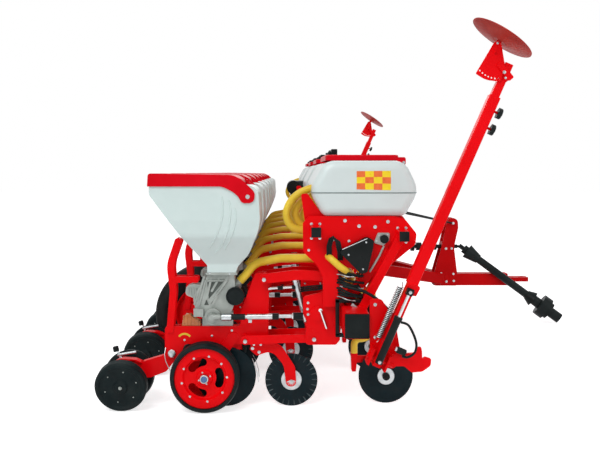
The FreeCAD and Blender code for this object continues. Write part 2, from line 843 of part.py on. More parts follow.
# ---------------------------------------------------------------- wheels and discs
def kidney(x, z, inner, outer, middle, half_angle, y0, y1):
    """Curved slot with round ends between two radii; angles in degrees about an axis along Y."""
    end_radius = (outer - inner) / 2
    mean = (outer + inner) / 2
    end_angle = half_angle - math.degrees(math.asin(end_radius / mean))

    def at(radius, degrees):
        turn = math.radians(degrees)
        return V(x + radius * math.cos(turn), y0, z + radius * math.sin(turn))

    first, last = middle - end_angle, middle + end_angle
    wire = Part.Wire([
        Part.Arc(at(outer, first), at(outer, middle), at(outer, last)).toShape(),
        Part.Arc(at(outer, last), at(mean, middle + half_angle), at(inner, last)).toShape(),
        Part.Arc(at(inner, last), at(inner, middle), at(inner, first)).toShape(),
        Part.Arc(at(inner, first), at(mean, middle - half_angle), at(outer, first)).toShape(),
    ])
    return Part.Face(wire).extrude(V(0, y1 - y0, 0))


def make_gauge_wheels(y):
    """Twin gauge wheels of one row: a thin rubber tyre on a dished rim with kidney slots."""
    face_y = gauge_width - 12
    bore = gauge_axle_radius + running_gap
    wheel = turned([
        (bore, gauge_web_y - 18), (34, gauge_web_y - 18), (40, gauge_web_y - 3),
        (gauge_slot_outer + 8, gauge_web_y - 3), (gauge_rim_radius - 12, 12),
        (gauge_radius - 12, 0, 10), (gauge_radius, 22, 16),
        (gauge_radius, gauge_width - 22, 16), (gauge_radius - 10, gauge_width, 8),
        (gauge_rim_radius + 1, gauge_width), (gauge_rim_radius, face_y - 4), (gauge_rim_radius - 4, face_y),
        (gauge_slot_outer + 14, face_y, 5), (gauge_slot_outer + 4, gauge_web_y + 4, 5),
        (50, gauge_web_y + 4), (44, gauge_web_y + 16, 3), (bore, gauge_web_y + 16),
    ], gauge_x, 0, gauge_radius)
    for i in range(gauge_slot_count):
        wheel = wheel.cut(kidney(gauge_x, gauge_radius, gauge_slot_inner, gauge_slot_outer,
                                 360 / gauge_slot_count * i, gauge_slot_half_angle,
                                 gauge_web_y - 20, gauge_width + 1))
    return [moved(mirrored(wheel), y=y - gauge_inner_y), moved(wheel, y=y + gauge_inner_y)]


def make_closing_wheel(y, side):
    half = closing_width / 2
    bore = 10 + running_gap
    wheel = turned([
        (bore, -half + 10), (closing_radius - 40, -half + 10), (closing_radius - 28, -half),
        (closing_radius - 7, -half, 6), (closing_radius, -half + closing_shoulder, 8),
        (closing_radius, half - closing_shoulder, 8),
        (closing_radius - 7, half, 6), (closing_radius - 22, half), (closing_radius - 32, half - 10),
        (closing_radius - 46, half - 14), (42, half - 14), (34, half - 2), (bore, half - 2),
    ], closing_x, 0, closing_z)
    if side < 0:
        wheel = mirrored(wheel)
    wheel = tilted(wheel, (closing_x, 0, closing_z), (1, 0, 0), -side * closing_tilt)
    return moved(wheel, y=y + side * closing_offset_y)


def make_opener_discs(y):
    shapes = []
    for side in (-1, 1):
        disc = turned([
            (12 + running_gap, 0), (opener_radius, 0), (opener_radius - 14, opener_disc_thickness),
            (62, opener_disc_thickness, 2), (56, 7, 2), (12 + running_gap, 7),
        ], opener_x, 0, opener_z)
        if side < 0:
            disc = mirrored(disc)
        shapes.append(moved(disc, y=y + side * opener_disc_y))
    return shapes


def make_coulter(y):
    half = coulter_thickness / 2
    disc = turned([
        (11 + running_gap, -13), (30, -13, 2), (30, -7, 2), (60, -7, 2), (62, -half, 1),
        (coulter_radius, -half), (coulter_radius, half), (62, half, 1), (60, 7, 2),
        (30, 7, 2), (30, 13, 2), (11 + running_gap, 13),
    ], coulter_x, 0, coulter_radius)
    return moved(disc, y=y)


def make_fert_disc(y):
    half = fert_disc_thickness / 2
    disc = turned([
        (12 + running_gap, -14), (50, -14, 3), (54, -half, 2), (fert_disc_radius - 12, -half),
        (fert_disc_radius, 0), (fert_disc_radius - 12, half), (54, half, 2), (50, 14, 3),
        (12 + running_gap, 14),
    ], fert_disc_x, 0, fert_disc_radius)
    return moved(disc, y=y)


def make_transport_wheels():
    half = transport_width / 2
    shapes = []
    for side in (-1, 1):
        wheel = turned([
            (transport_rim_radius, -half * 0.7, 8), (transport_radius - 70, -half, 40),
            (transport_radius, -half * 0.8, 25), (transport_radius, half * 0.8, 25),
            (transport_radius - 70, half, 40), (transport_rim_radius, half * 0.7, 8),
        ], transport_x, 0, transport_radius)
        rim = turned([
            (25 + running_gap, 10), (60, 10, 4), (70, 40, 8), (transport_rim_radius - 30, 30, 12),
            (transport_rim_radius - 10, -half * 0.66, 4), (transport_rim_radius + 0.5, -half * 0.66),
            (transport_rim_radius + 0.5, half * 0.66), (transport_rim_radius - 10, half * 0.66, 4),
            (transport_rim_radius - 22, 42, 10), (76, 52, 8), (60, 84, 4), (25 + running_gap, 84),
        ], transport_x, 0, transport_radius)
        wheel = fused([wheel, rim])
        if side < 0:
            wheel = mirrored(wheel)
        shapes.append(moved(wheel, y=side * transport_y))
    return shapes


def make_transport_arm(side):
    inner = transport_width / 2 + 18
    outer = inner + 26
    arm = plate([
        (transport_x - 45, transport_radius - 45, 44), (transport_x + 45, transport_radius - 45, 44),
        (-half_bar - 160, toolbar_z - half_bar, 60), (-half_bar, toolbar_z - half_bar, 8),
        (-half_bar, toolbar_z + half_bar, 8), (-half_bar - 160, toolbar_z + half_bar - 10, 60),
        (transport_x - 45, transport_radius + 45, 44),
    ], inner, outer)
    bolt_drop = half_bar + transport_bolt_radius + 5
    plate_drop = bolt_drop + 16
    clamp = box(-half_bar - 14, -half_bar, inner - 60, outer + 14,
                toolbar_z - plate_drop, toolbar_z + plate_drop)
    strap_front = box(half_bar, half_bar + 12, inner - 60, outer + 14,
                      toolbar_z - plate_drop, toolbar_z + plate_drop)
    bolts = []
    for lane in (inner - 40, inner + 8):
        for z in (toolbar_z - bolt_drop, toolbar_z + bolt_drop):
            bolts.append(rod((-half_bar - 14, lane, z), (half_bar + 30, lane, z), transport_bolt_radius))
    axle = across(transport_x, transport_radius, 25, 14, outer)
    body = fused([arm, clamp, strap_front, axle] + bolts)
    body = moved(body, y=transport_y)
    return body if side > 0 else mirrored(body)


# ---------------------------------------------------------------- seed hopper, lid and meter
hopper_block_top = 1400.0      # construction solids reach past the hopper by so much
hopper_block_half = 400.0
hopper_block_rear = -1400.0
hopper_block_length = 1200.0
hopper_foot_z = 780.0


def hopper_side():
    """Side view of a hopper."""
    return [
        (hopper_rear_x, hopper_top_z), (hopper_rear_x, 1255, 18), (-1004, 1044, 60),
        (-845, 842, 16), (-845, hopper_neck_z), (-679, hopper_neck_z), (-668, 834, 60), (-600, 910, 160),
        (-532, 1080, 260), (lid_pivot_x + lid_nose_radius, lid_pivot_z, 60),
        (lid_pivot_x + lid_nose_radius - 6, hopper_top_z - 2, 58), (lid_pivot_x - 20, hopper_top_z),
    ]


def hopper_front():
    half, neck = hopper_half_width, hopper_neck_half_width
    return [
        (-half, hopper_block_top), (-half, 1110, 120), (-half + 10, 1020, 80), (-neck, 850, 30),
        (-neck, hopper_foot_z), (neck, hopper_foot_z),
        (neck, 850, 30), (half - 10, 1020, 80), (half, 1110, 120), (half, hopper_block_top),
    ]


def make_hopper(y):
    sideways = V(0, 2 * hopper_block_half, 0)
    forward = V(hopper_block_length, 0, 0)
    side = side_face(hopper_side(), -hopper_block_half)
    front = Part.Face(rounded_wire(hopper_front(), lambda p: V(hopper_block_rear, p.x, p.y)))
    outer = side.extrude(sideways).common(front.extrude(forward))
    inner_side = side.makeOffset2D(-hopper_wall)
    inner_front = front.makeOffset2D(-hopper_wall)
    inner = inner_side.extrude(sideways).common(inner_front.extrude(forward))
    half = hopper_half_width - hopper_wall
    mouth = box(hopper_rear_x + hopper_wall, lid_pivot_x - 46, -half, half,
                hopper_top_z - 40, hopper_top_z + 40)
    throat = box(-840, -684, -hopper_neck_half_width + hopper_wall,
                 hopper_neck_half_width - hopper_wall, hopper_foot_z, hopper_neck_z + 30)
    shell = outer.cut(inner).cut(mouth).cut(throat)
    pins = []
    for sign in (-1, 1):
        y0, y1 = sorted((sign * (hopper_half_width - 2), sign * (hopper_half_width + 14)))
        pins.append(across(lid_pivot_x, lid_pivot_z, 9, y0, y1))
    return moved(fused([shell] + pins), y=y)


def make_hopper_lid(y):
    """Cover whose sides run forward into a visor with two ears that turn on the hopper's pins."""
    inner = hopper_half_width + lid_gap
    outer = inner + lid_wall
    top = hopper_top_z + 68
    rear = hopper_rear_x - lid_gap - lid_wall
    skirt_z = hopper_top_z - 6
    front = lid_pivot_x - 34
    outer_block = plate([
        (rear, skirt_z, 4), (rear + 4, top, 16), (-683, top - 9, 90),
        (front, hopper_top_z + 30, 30), (front, skirt_z, 4),
    ], -outer, outer)
    hollow = plate([
        (rear + lid_wall, hopper_top_z - 40), (rear + lid_wall + 4, top - lid_wall, 12),
        (-683, top - 9 - lid_wall, 86), (front - lid_wall, hopper_top_z + 26, 26),
        (front - lid_wall, hopper_top_z - 40),
    ], -inner, inner)
    front_open = box(lid_pivot_x - 60, lid_pivot_x, -inner, inner,
                     hopper_top_z - 30, hopper_top_z + lid_gap)
    pieces = [outer_block.cut(hollow).cut(front_open)]
    for side in (-1, 1):
        y0, y1 = sorted((side * inner, side * outer))
        pieces.append(plate([
            (-760, skirt_z + 20, 5), (-760, skirt_z, 5), (-735, skirt_z - 6, 60),
            (-688, lid_pivot_z + 28, 40), (-655, lid_pivot_z, 30), (lid_pivot_x - 34, lid_pivot_z - 36, 30),
            (lid_pivot_x + 38, lid_pivot_z - 36, 34), (lid_pivot_x + 40, lid_pivot_z + 26, 40),
            (-636, top - 34, 50), (-683, top - 12, 40),
        ], y0, y1))
    lid = fused(pieces).cut(across(lid_pivot_x, lid_pivot_z, 9 + running_gap, -400, 400))
    return [moved(lid, y=y)]


meter_gear = (-813.0, 545.0)
meter_air_port = (-684.0, 660.0)
rib_height = 7.0
meter_ribs = (
    ((-866, 770), (-906, 640)),
    ((-822, 770), (-852, 645)),
    ((-728, 770), (-815, 612)),
    ((-775, 770), (-820, 690)),
)


def make_meter(y):
    """Cast seed meter with ribs, its seed lobe, gear cover, air port and foot on the row's beam."""
    half = meter_half_width
    housing = plate([
        (-905, 530, 60), (-720, 530, 60), (-680, 640, 60), (-690, 790, 4), (-835, 790, 4), (-935, 660, 70),
    ], -half, half)
    lobe = plate([
        (-980, 664, 26), (-915, 640, 10), (-880, 720, 10), (-930, 728, 26), (-972, 712, 20),
    ], -half + 12, half - 12)
    gear = across(meter_gear[0], meter_gear[1], 46, -half - 26, half)
    port_y = -frame_y - frame_plate - 2
    port = across(meter_air_port[0], meter_air_port[1], 52, port_y - 34, port_y)
    neck = box(-720, meter_air_port[0], port_y - 26, port_y, 636, 684)
    foot = box(-880, -700, -20, 20, beam_top_z, 560)
    flange_half = hopper_neck_half_width + 4
    flange = box(-853, -671, -flange_half, flange_half, hopper_neck_z - 14, hopper_neck_z - seat_gap)
    port_x, port_z = meter_port
    spigot = rod((port_x - 50, 0, port_z - 50), (port_x, 0, port_z), hose_radius - 3)
    pieces = [housing, lobe, gear, port, neck, foot, flange, spigot]
    for start, end in meter_ribs:
        pieces.append(strap(start, end, 13, -half - rib_height, -half + 1))
    for i in range(4):
        x = -962 + 15 * i
        pieces.append(box(x, x + 5, -half + 12 - rib_height, -half + 13, 668 - 3 * i, 706))
    block = box(-925, -868, -half - 22, -half + 1, 542, 588)
    pieces.append(block)
    return moved(fused(pieces), y=y)


def make_meter_drive(y):
    """Telescopic shaft from the toolbar's drive shaft to the meter."""
    lane = -meter_half_width - 46
    gear_x, gear_z = meter_gear
    end_x = -300
    tube = rod((gear_x + 30, lane, gear_z), (end_x, lane, gear_z + 6), 11)
    collar = rod((gear_x + 55, lane, gear_z), (gear_x + 110, lane, gear_z + 0.5), 21)
    sleeve = rod((gear_x + 109, lane, gear_z + 0.5), (gear_x + 190, lane, gear_z + 1.5), 17)
    boot = rod((-345, lane, gear_z + 5), (-288.3, lane, gear_z + 5), 22)
    drop = across(gear_x, gear_z, 18, lane - 14, -meter_half_width - 26)
    elbow = rod((gear_x, lane, gear_z), (gear_x + 45, lane, gear_z), 17)
    return moved(fused([tube, collar, sleeve, boot, drop, elbow]), y=y)


def make_drive_flange():
    """Bearing flange of the hexagon drive shaft on the right end plate, with the shaft's stub."""
    face_y = -end_support_y - 5
    flange = plate([
        (118, 978, 8), (141, 1036, 8), (209, 1036, 8), (205, 992, 8), (172, 962, 10),
    ], face_y - 12, face_y - seat_gap)
    hub = across(176, 1001, 24, face_y - 34, face_y - 11)
    return fused([flange, hub])


def make_chain_guard():
    """Closed guard of the fertiliser drive's chain on the right end plate."""
    face_y = -end_support_y - 5
    return plate([
        (-84, 930, 14), (76, 1016, 30), (116, 994, 20), (108, 945, 60), (78, 816, 14), (42, 803, 14),
    ], face_y - 45, face_y - seat_gap)


# ---------------------------------------------------------------- fertiliser openers
def make_fert_opener(y, side):
    """Shank, boot and stub axle; side points to the machine's middle."""
    disc_y = fert_offset_y
    inner = clamp_half_width + 1.0
    outer = inner + 18.0
    shank = plate([
        (half_bar, toolbar_z - 75, 6), (half_bar + 60, toolbar_z - 75, 30), (fert_disc_x - 30, 330, 80),
        (fert_disc_x - 34, fert_disc_radius - 34, 32), (fert_disc_x + 34, fert_disc_radius - 34, 32),
        (fert_disc_x + 30, 350, 90), (half_bar + 92, toolbar_z + 75, 30), (half_bar, toolbar_z + 75, 6),
    ], inner, outer)
    foot = box(half_bar, half_bar + 14, inner, outer + 60, toolbar_z - 90, toolbar_z + 90)
    axle = across(fert_disc_x, fert_disc_radius, 12, disc_y - 20, outer)
    strut = plate([
        (boot_x - 16, boot_strut_z, 8), (fert_disc_x - 20, boot_strut_z, 8),
        (fert_disc_x - 20, boot_strut_z + 40, 8), (boot_x - 16, boot_strut_z + 40, 8),
    ], inner, outer)
    boot = plate([
        (boot_x - 16, boot_foot_z, 6), (boot_x + 10, boot_foot_z, 6),
        (boot_x + 20, boot_top_z, 2), (boot_x - 20, boot_top_z, 2),
    ], disc_y - 12, outer)
    body = fused([shank, foot, axle, strut, boot])
    if side < 0:
        body = mirrored(body)
    return moved(body, y=y)


# ---------------------------------------------------------------- fan, gearbox and driveline
fan_x = front_rail_x + rail_size / 2 + 10
fan_z = 990.0
fan_radius = 235.0
duct_radius = 60.0
duct_z = fan_z + 155.0
manifold_x = tank_rear_x - 70.0
manifold_z = 1245.0
manifold_radius = 62.0
manifold_port_z = manifold_z - manifold_radius - 12.0


def make_fan():
    """Fan housing in front of the rails, its belt guard, gearbox and the bracket on the toolbar."""
    housing = Part.makeCylinder(fan_radius, 110, V(fan_x, 0, fan_z), X_AXIS)
    guard = front_plate([
        (-70, driveline_z - 70, 65), (70, driveline_z - 70, 65), (110, fan_z, 60),
        (0, fan_z + 120, 80), (-110, fan_z, 60),
    ], fan_x + 109, fan_x + 160)
    gearbox = box(fan_x + 159, fan_x + 330, -75, 75, driveline_z - 80, driveline_z + 80)
    bracket = plate([
        (half_bar, toolbar_z - 50, 4), (fan_x + 320, driveline_z - 100, 8),
        (fan_x + 320, driveline_z - 78, 2),
        (fan_x + 165, driveline_z - 78, 2), (half_bar, toolbar_z + 50, 4),
    ], -55, 55)
    return fused([housing, guard, gearbox, bracket])


def riser_offset(order):
    """Distance from the machine's middle of the hose that serves a row, counted outwards."""
    return 36.0 + 56.0 * order


def make_manifold():
    """Air duct between the two middle tanks and the manifold across its rear end."""
    duct = pipe([(fan_x - 0.5, 0, duct_z), (fan_x - 140, 0, duct_z), (manifold_x + 220, 0, manifold_z),
                 (manifold_x, 0, manifold_z)], duct_radius, 200)
    manifold = across(manifold_x, manifold_z, manifold_radius, -250, 250)
    ports = [rod((manifold_x, side * riser_offset(order), manifold_port_z),
                 (manifold_x, side * riser_offset(order), manifold_z), hose_radius - 3)
             for order in range(row_count // 2) for side in (-1, 1)]
    return fused([duct, manifold] + ports)


def make_driveline():
    """Shaft from the gearbox through the tower's bearing to the cross that the PTO shaft turns on."""
    shaft = rod((fan_x + 330, 0, driveline_z), (pto_pivot_x - 34, 0, driveline_z), shaft_radius)
    neck = rod((pto_pivot_x - 36, 0, driveline_z), (pto_pivot_x, 0, driveline_z), 12)
    joints = []
    for rear_x, front_x, radius in ((788, 820, 44), (840, 888, 38), (955, 978, 38), (990, 1030, 34)):
        joints.append(Part.makeCylinder(radius, front_x - rear_x, V(rear_x, 0, driveline_z), X_AXIS))
    cross = across(pto_pivot_x, driveline_z, cross_pin_radius, -fork_outer_y - 2, fork_outer_y + 2)
    return fused([shaft, neck, cross] + joints)


# ---------------------------------------------------------------- hoses
lane_x = 5.0
lane_top_z = 874.0
lane_step = 58.0


def make_row_hose(index):
    """Air hose from one meter, over the links, along the toolbar and up to the manifold."""
    y = rows[index]
    side = 1 if y > 0 else -1
    order = int((abs(y) - row_spacing / 2) / row_spacing + 0.5)
    drop = lane_step * order
    lane_z = lane_top_z - drop
    riser_y = side * riser_offset(order)
    return pipe([
        (meter_port[0], y, meter_port[1]), (meter_port[0] + 32, y, meter_port[1] + 32),
        (-572, y, 846), (-420, y, lane_top_z), (-200, y, lane_top_z),
        (lane_x - 80, y, lane_top_z - 0.12 * drop), (lane_x, y - side * 15, lane_z + 0.4 * drop),
        (lane_x, y - side * 130, lane_z), (lane_x, riser_y + side * 60, lane_z),
        (lane_x - 60, riser_y, lane_z), (manifold_x + 60, riser_y, lane_z),
        (manifold_x, riser_y, lane_z + 70), (manifold_x, riser_y, manifold_port_z),
    ], hose_radius, 120)


def make_fert_hose(y, side):
    """Hose from the tank's outlet, in front of the toolbar and back to the boot."""
    lane = y + side * fert_offset_y
    return pipe([
        (130, lane, tank_bottom_z - seat_gap), (130, lane, 1010), (118, lane, 840), (132, lane, 650),
        (132, lane, 440), (95, lane, 384), (boot_x, lane, 384), (boot_x, lane, boot_top_z + seat_gap),
    ], 20, 200)


# ---------------------------------------------------------------- row markers
arm_lean = math.radians(marker_lean)
disc_lean = math.radians(marker_disc_lean)
marker_up = V(math.sin(arm_lean), 0, math.cos(arm_lean))
marker_axis = V(marker_up.z, 0, -marker_up.x)
level_disc_axis = V(math.sin(disc_lean), 0, math.cos(disc_lean))
marker_disc_axis = FreeCAD.Rotation(X_AXIS, marker_disc_toe).multVec(level_disc_axis)


marker_head_pin = (721.0, 2024.0)    # x and z of the pin through the quadrant's tip


def marker_point(along, ahead=0.0, y=0.0):
    """Point measured along the raised arm, ahead of it and sideways."""
    base = V(marker_hinge_x, -marker_y, marker_hinge_z)
    return base + marker_up * along + marker_axis * ahead + V(0, y, 0)


def marker_plate(points, y0, y1):
    """Plate beside the raised arm; each point is (ahead, along, corner radius)."""
    face = Part.Face(rounded_wire(points, lambda p: marker_point(p.y, p.x, y0)))
    return face.extrude(V(0, y1 - y0, 0))


def make_marker_bracket():
    """Plate on the toolbar's front face, the arm's hinge fork and the transport hook ahead of it."""
    plate_y = -toolbar_length / 2 + 10
    base = plate([
        (half_bar, toolbar_z - 75, 10), (marker_hinge_x - 34, marker_hinge_z - 50, 30),
        (marker_hinge_x + 100, marker_hinge_z - 72, 30), (marker_hinge_x + 128, marker_hinge_z + 20, 30),
        (marker_hinge_x + 100, toolbar_z + 20, 60), (half_bar + 64, toolbar_z + 145, 30),
        (half_bar, toolbar_z + 145, 10),
    ], plate_y, plate_y + 14)
    pieces = [base]
    ear_depth = plate_y + 1 + marker_y + 38
    for ahead in (-48, 48):
        centre = marker_point(0, ahead)
        ear = Part.makeBox(12, ear_depth, 90, V(-6, 0, -45))
        ear.rotate(V(0, 0, 0), Y_AXIS, marker_lean)
        ear.translate(V(centre.x, centre.y - 38, centre.z))
        pieces.append(ear)
    pieces.append(Part.makeCylinder(14, 150, marker_point(0, -65), marker_axis))
    hook = marker_plate([
        (60, -14, 8), (60, 56, 10), (168, 112, 4), (162, 142, 8), (182, 152, 8), (196, 130, 8),
        (212, 96, 4), (222, 112, 6), (256, 116, 10), (268, 80, 24), (240, 34, 30), (190, 6, 24),
        (140, 22, 30),
    ], -8, 8)
    pieces.append(hook)
    return fused(pieces)


def make_marker_head():
    """Toothed quadrant, clamp straps and neck that carry the disc at the arm's tip."""
    tip_half = marker_tip_size / 2
    quadrant = marker_plate([
        (-146, 1600, 8), (-84, 1590, 120), (-8, 1614, 10), (-20, 1700, 40), (-86, 1800, 16),
        (-122, 1798, 16),
    ], -tip_half - 8, -tip_half)
    for i in range(7):
        middle = marker_point(1612 + 0.004 * (i * 18 - 54) ** 2, -132 + 18 * i, -40)
        quadrant = quadrant.cut(Part.makeCylinder(4.5, 30, middle, Y_AXIS))
    pieces = [quadrant]
    for y0 in (-tip_half - 16, tip_half):
        pieces.append(marker_plate([
            (-66, 1684, 8), (32, 1632, 8), (46, 1662, 8), (-52, 1714, 8),
        ], y0, y0 + 8))
    pieces.append(across(*marker_head_pin, 8, -marker_y - tip_half - 18, -marker_y + tip_half))
    return pieces


def make_marker_cylinder():
    """Folding cylinder beside the arm: barrel, gland, rod with its eye, two pins and the lug on the arm."""
    lane = -marker_arm_size / 2 - cylinder_radius - 5
    barrel = Part.makeCylinder(cylinder_radius, cylinder_length + 12,
                               marker_point(-12, -4, lane), marker_up)
    gland = Part.makeCylinder(cylinder_radius + 3, 22,
                              marker_point(cylinder_length - 20, -4, lane), marker_up)
    ram = Part.makeCylinder(cylinder_rod_radius, cylinder_reach - cylinder_length + 10,
                            marker_point(cylinder_length - 10, -4, lane), marker_up)
    pieces = [barrel, gland, ram]
    pieces.append(Part.makeCylinder(20, 36, marker_point(cylinder_reach, -22, lane), marker_axis))
    for along in (0, cylinder_reach):
        pieces.append(Part.makeCylinder(13, -lane - 10, marker_point(along, -4, lane), Y_AXIS))
    pieces.append(marker_plate([
        (-24, cylinder_reach - 24, 8), (40, cylinder_reach - 10, 10), (44, cylinder_reach + 44, 14),
        (10, cylinder_reach + 50, 14), (-24, cylinder_reach + 26, 8),
    ], lane + 18, -marker_arm_size / 2 + 1))
    return pieces


def make_marker_arm():
    foot = bar(marker_point(-38), marker_point(marker_foot_length + 10),
               marker_arm_size, marker_foot_size, 0, 6)
    arm = bar(marker_point(marker_foot_length), marker_point(marker_arm_length),
              marker_arm_size, marker_arm_size, 0, 8)
    tip = bar(marker_point(marker_arm_length - 10), marker_point(marker_arm_length + marker_tip_length),
              marker_tip_size, marker_tip_size, 0, 6)
    disc_centre = V(marker_disc_x, -marker_y, marker_disc_z)
    neck = bar(marker_point(1700, -72), disc_centre - marker_disc_axis * 34, marker_tip_size + 10, 22, 0, 4)
    axle = Part.makeCylinder(14, 70, disc_centre - marker_disc_axis * 46, marker_disc_axis)
    pieces = [foot, arm, tip, neck, axle] + make_marker_head() + make_marker_cylinder()
    for along in knob_places:
        stem = marker_point(along, marker_arm_size / 2 - 2)
        head = marker_point(along, marker_arm_size / 2 + 20)
        pieces.append(Part.makeCylinder(7, 34, stem, marker_axis))
        pieces.append(Part.makeCylinder(knob_radius, 22, head, marker_axis))
    body = fused(pieces)
    hole = Part.makeCylinder(14 + running_gap, 300, marker_point(0, -150), marker_axis)
    return [body.cut(hole)]


def make_marker_disc():
    disc = turned([
        (14 + running_gap, -6), (40, -6, 2), (marker_disc_radius, 18), (marker_disc_radius, 22), (44, 4, 2),
        (40, 10, 2), (14 + running_gap, 10),
    ], 0, 0, 0)
    disc.Placement = FreeCAD.Placement(V(marker_disc_x, -marker_y, marker_disc_z),
                                       FreeCAD.Rotation(Y_AXIS, marker_disc_axis))
    return [disc]


# ---------------------------------------------------------------- PTO shaft
def make_pto_shaft():
    """Guarded shaft that hangs from the tower's joint and rests its end yoke on the ground."""
    start = V(pto_pivot_x, 0, driveline_z)
    end = V(pto_end_x - pto_yoke_radius, pto_end_y, pto_end_z)
    run = end - start
    run.normalize()
    overhang = (pto_end_x - end.x - pto_yoke_radius * math.sqrt(1 - run.x ** 2)) / run.x
    pieces = [
        Part.makeCylinder(40, 40, start + run * 34, run),
        Part.makeCone(pto_guard_radius, 42, 130, start + run * 72, run),
        Part.makeCylinder(pto_tube_radius, (end - start).Length - 330, start + run * 150, run),
        Part.makeCone(40, pto_guard_radius, 70, end - run * 330, run),
        Part.makeCylinder(pto_yoke_radius, 110, end - run * 270, run),
        Part.makeCylinder(pto_clutch_radius, pto_clutch_length, end - run * 190, run),
        Part.makeCylinder(pto_clutch_radius - 22, 30, end - run * 114, run),
        Part.makeCylinder(pto_yoke_radius, 110 + overhang, end - run * 110, run),
    ]
    side = Z_AXIS.cross(run)
    side.normalize()
    for sign in (-1, 1):
        middle = side * (sign * (fork_inner_y + fork_outer_y) / 2)
        pieces.append(bar(start + middle - run * 15, start + middle + run * 45,
                          fork_outer_y - fork_inner_y, 34, 0, 1))
    hole = across(pto_pivot_x, driveline_z, cross_pin_radius + running_gap, -80, 80)
    return [fused(pieces).cut(hole)]


# ---------------------------------------------------------------- build
os.makedirs("parts", exist_ok=True)

save("main_frame", make_main_frame())
save("drawbar", make_drawbar())
save("fertiliser_tanks", [make_tank(y) for y in tank_places])
for number, y in enumerate(tank_places, 1):
    save("fertiliser_lid_%d" % number, make_tank_lid(y))
save("row_headstocks", [make_headstock(y) for y in rows])
save("parallel_links", [link for y in rows for link in make_links(y)])
save("row_frames", [make_row_frame(y) for y in rows])
save("wheel_arms", [arm for y in rows for arm in
                    make_gauge_arms(y) + [make_closing_arm(y), make_coulter_arm(y)]])
save("seed_hoppers", [make_hopper(y) for y in rows])
save("seed_meters", [make_meter(y) for y in rows])
save("meter_drives", [make_meter_drive(y) for y in rows] + [make_drive_flange()])
save("opener_discs", [disc for y in rows for disc in make_opener_discs(y)])
save("coulter_discs", [make_coulter(y) for y in rows])
inward = [-1 if y > 0 else 1 for y in rows]
save("fertiliser_openers", [make_fert_opener(y, side) for y, side in zip(rows, inward)])
save("fertiliser_discs", [make_fert_disc(y + side * fert_offset_y) for y, side in zip(rows, inward)])
for number, y in enumerate(rows, 1):
    save("hopper_lid_%d" % number, make_hopper_lid(y))
    save("gauge_wheels_%d" % number, make_gauge_wheels(y))
    save("closing_wheel_%d_right" % number, [make_closing_wheel(y, -1)])
    save("closing_wheel_%d_left" % number, [make_closing_wheel(y, 1)])
save("fan_and_driveline", [make_fan(), make_manifold(), make_driveline(), make_chain_guard()])
save("hoses", [make_row_hose(i) for i in range(row_count)]
     + [make_fert_hose(y, side) for y, side in zip(rows, inward)])
save("marker_brackets", [make_marker_bracket(), mirrored(make_marker_bracket())])
save("transport_arms", [make_transport_arm(-1), make_transport_arm(1)])
save("transport_wheels", make_transport_wheels())
for name, side in (("right", -1), ("left", 1)):
    arm = make_marker_arm()
    disc = make_marker_disc()
    if side > 0:
        arm = [mirrored(shape) for shape in arm]
        disc = [mirrored(shape) for shape in disc]
    save("marker_arm_" + name, arm)
    save("marker_disc_" + name, disc)
save("pto_shaft", make_pto_shaft())
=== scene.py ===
"""Looks of the eight-row precision planter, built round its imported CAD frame.

Metres; +X is the travel direction, +Y the machine's left, +Z up.
"""

import math

import bmesh
import bpy
import numpy as np
from mathutils import Matrix, Vector


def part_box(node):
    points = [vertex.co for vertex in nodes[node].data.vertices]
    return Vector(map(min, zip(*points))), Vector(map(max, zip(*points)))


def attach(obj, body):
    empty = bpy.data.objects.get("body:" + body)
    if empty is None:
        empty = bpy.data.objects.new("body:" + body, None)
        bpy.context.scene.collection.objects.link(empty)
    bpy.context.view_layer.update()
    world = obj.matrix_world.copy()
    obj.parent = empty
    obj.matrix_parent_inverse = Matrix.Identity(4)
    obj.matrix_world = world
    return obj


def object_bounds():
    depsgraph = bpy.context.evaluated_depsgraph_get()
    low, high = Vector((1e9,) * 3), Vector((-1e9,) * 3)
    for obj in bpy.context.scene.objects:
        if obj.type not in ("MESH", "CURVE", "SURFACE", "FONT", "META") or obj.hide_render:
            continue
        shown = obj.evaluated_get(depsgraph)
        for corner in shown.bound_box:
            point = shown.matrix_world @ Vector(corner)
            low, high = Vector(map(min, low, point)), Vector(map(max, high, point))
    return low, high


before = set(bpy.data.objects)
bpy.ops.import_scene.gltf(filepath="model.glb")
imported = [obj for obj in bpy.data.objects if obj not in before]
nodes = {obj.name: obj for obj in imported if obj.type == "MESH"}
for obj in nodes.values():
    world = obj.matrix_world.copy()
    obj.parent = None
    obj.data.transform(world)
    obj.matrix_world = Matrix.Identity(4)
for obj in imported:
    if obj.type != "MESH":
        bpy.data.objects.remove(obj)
cad_box = [list(corner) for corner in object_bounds()]

# ---------------------------------------------------------------- places read from the frame
ROWS = range(1, 9)
TANKS = range(1, 5)
SIDES = (("right", -1), ("left", 1))
TOOLBAR_AHEAD = 0.855  # from the gauge wheels' axle forward to the toolbar's centre line


def hub(node):
    """The middle of a turning node, seen from the side."""
    lo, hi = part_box(node)
    return Vector(((lo.x + hi.x) / 2, 0, (lo.z + hi.z) / 2))


def middle_y(node):
    lo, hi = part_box(node)
    return (lo.y + hi.y) / 2


GAUGE = hub("gauge_wheels_1")
COULTER = hub("coulter_discs")
FERT = hub("fertiliser_discs")
TYRE = hub("transport_wheels")
CLOSING_Z = hub("closing_wheel_1_right").z
BAR = GAUGE.x + TOOLBAR_AHEAD
row_y = {n: middle_y(f"gauge_wheels_{n}") for n in ROWS}

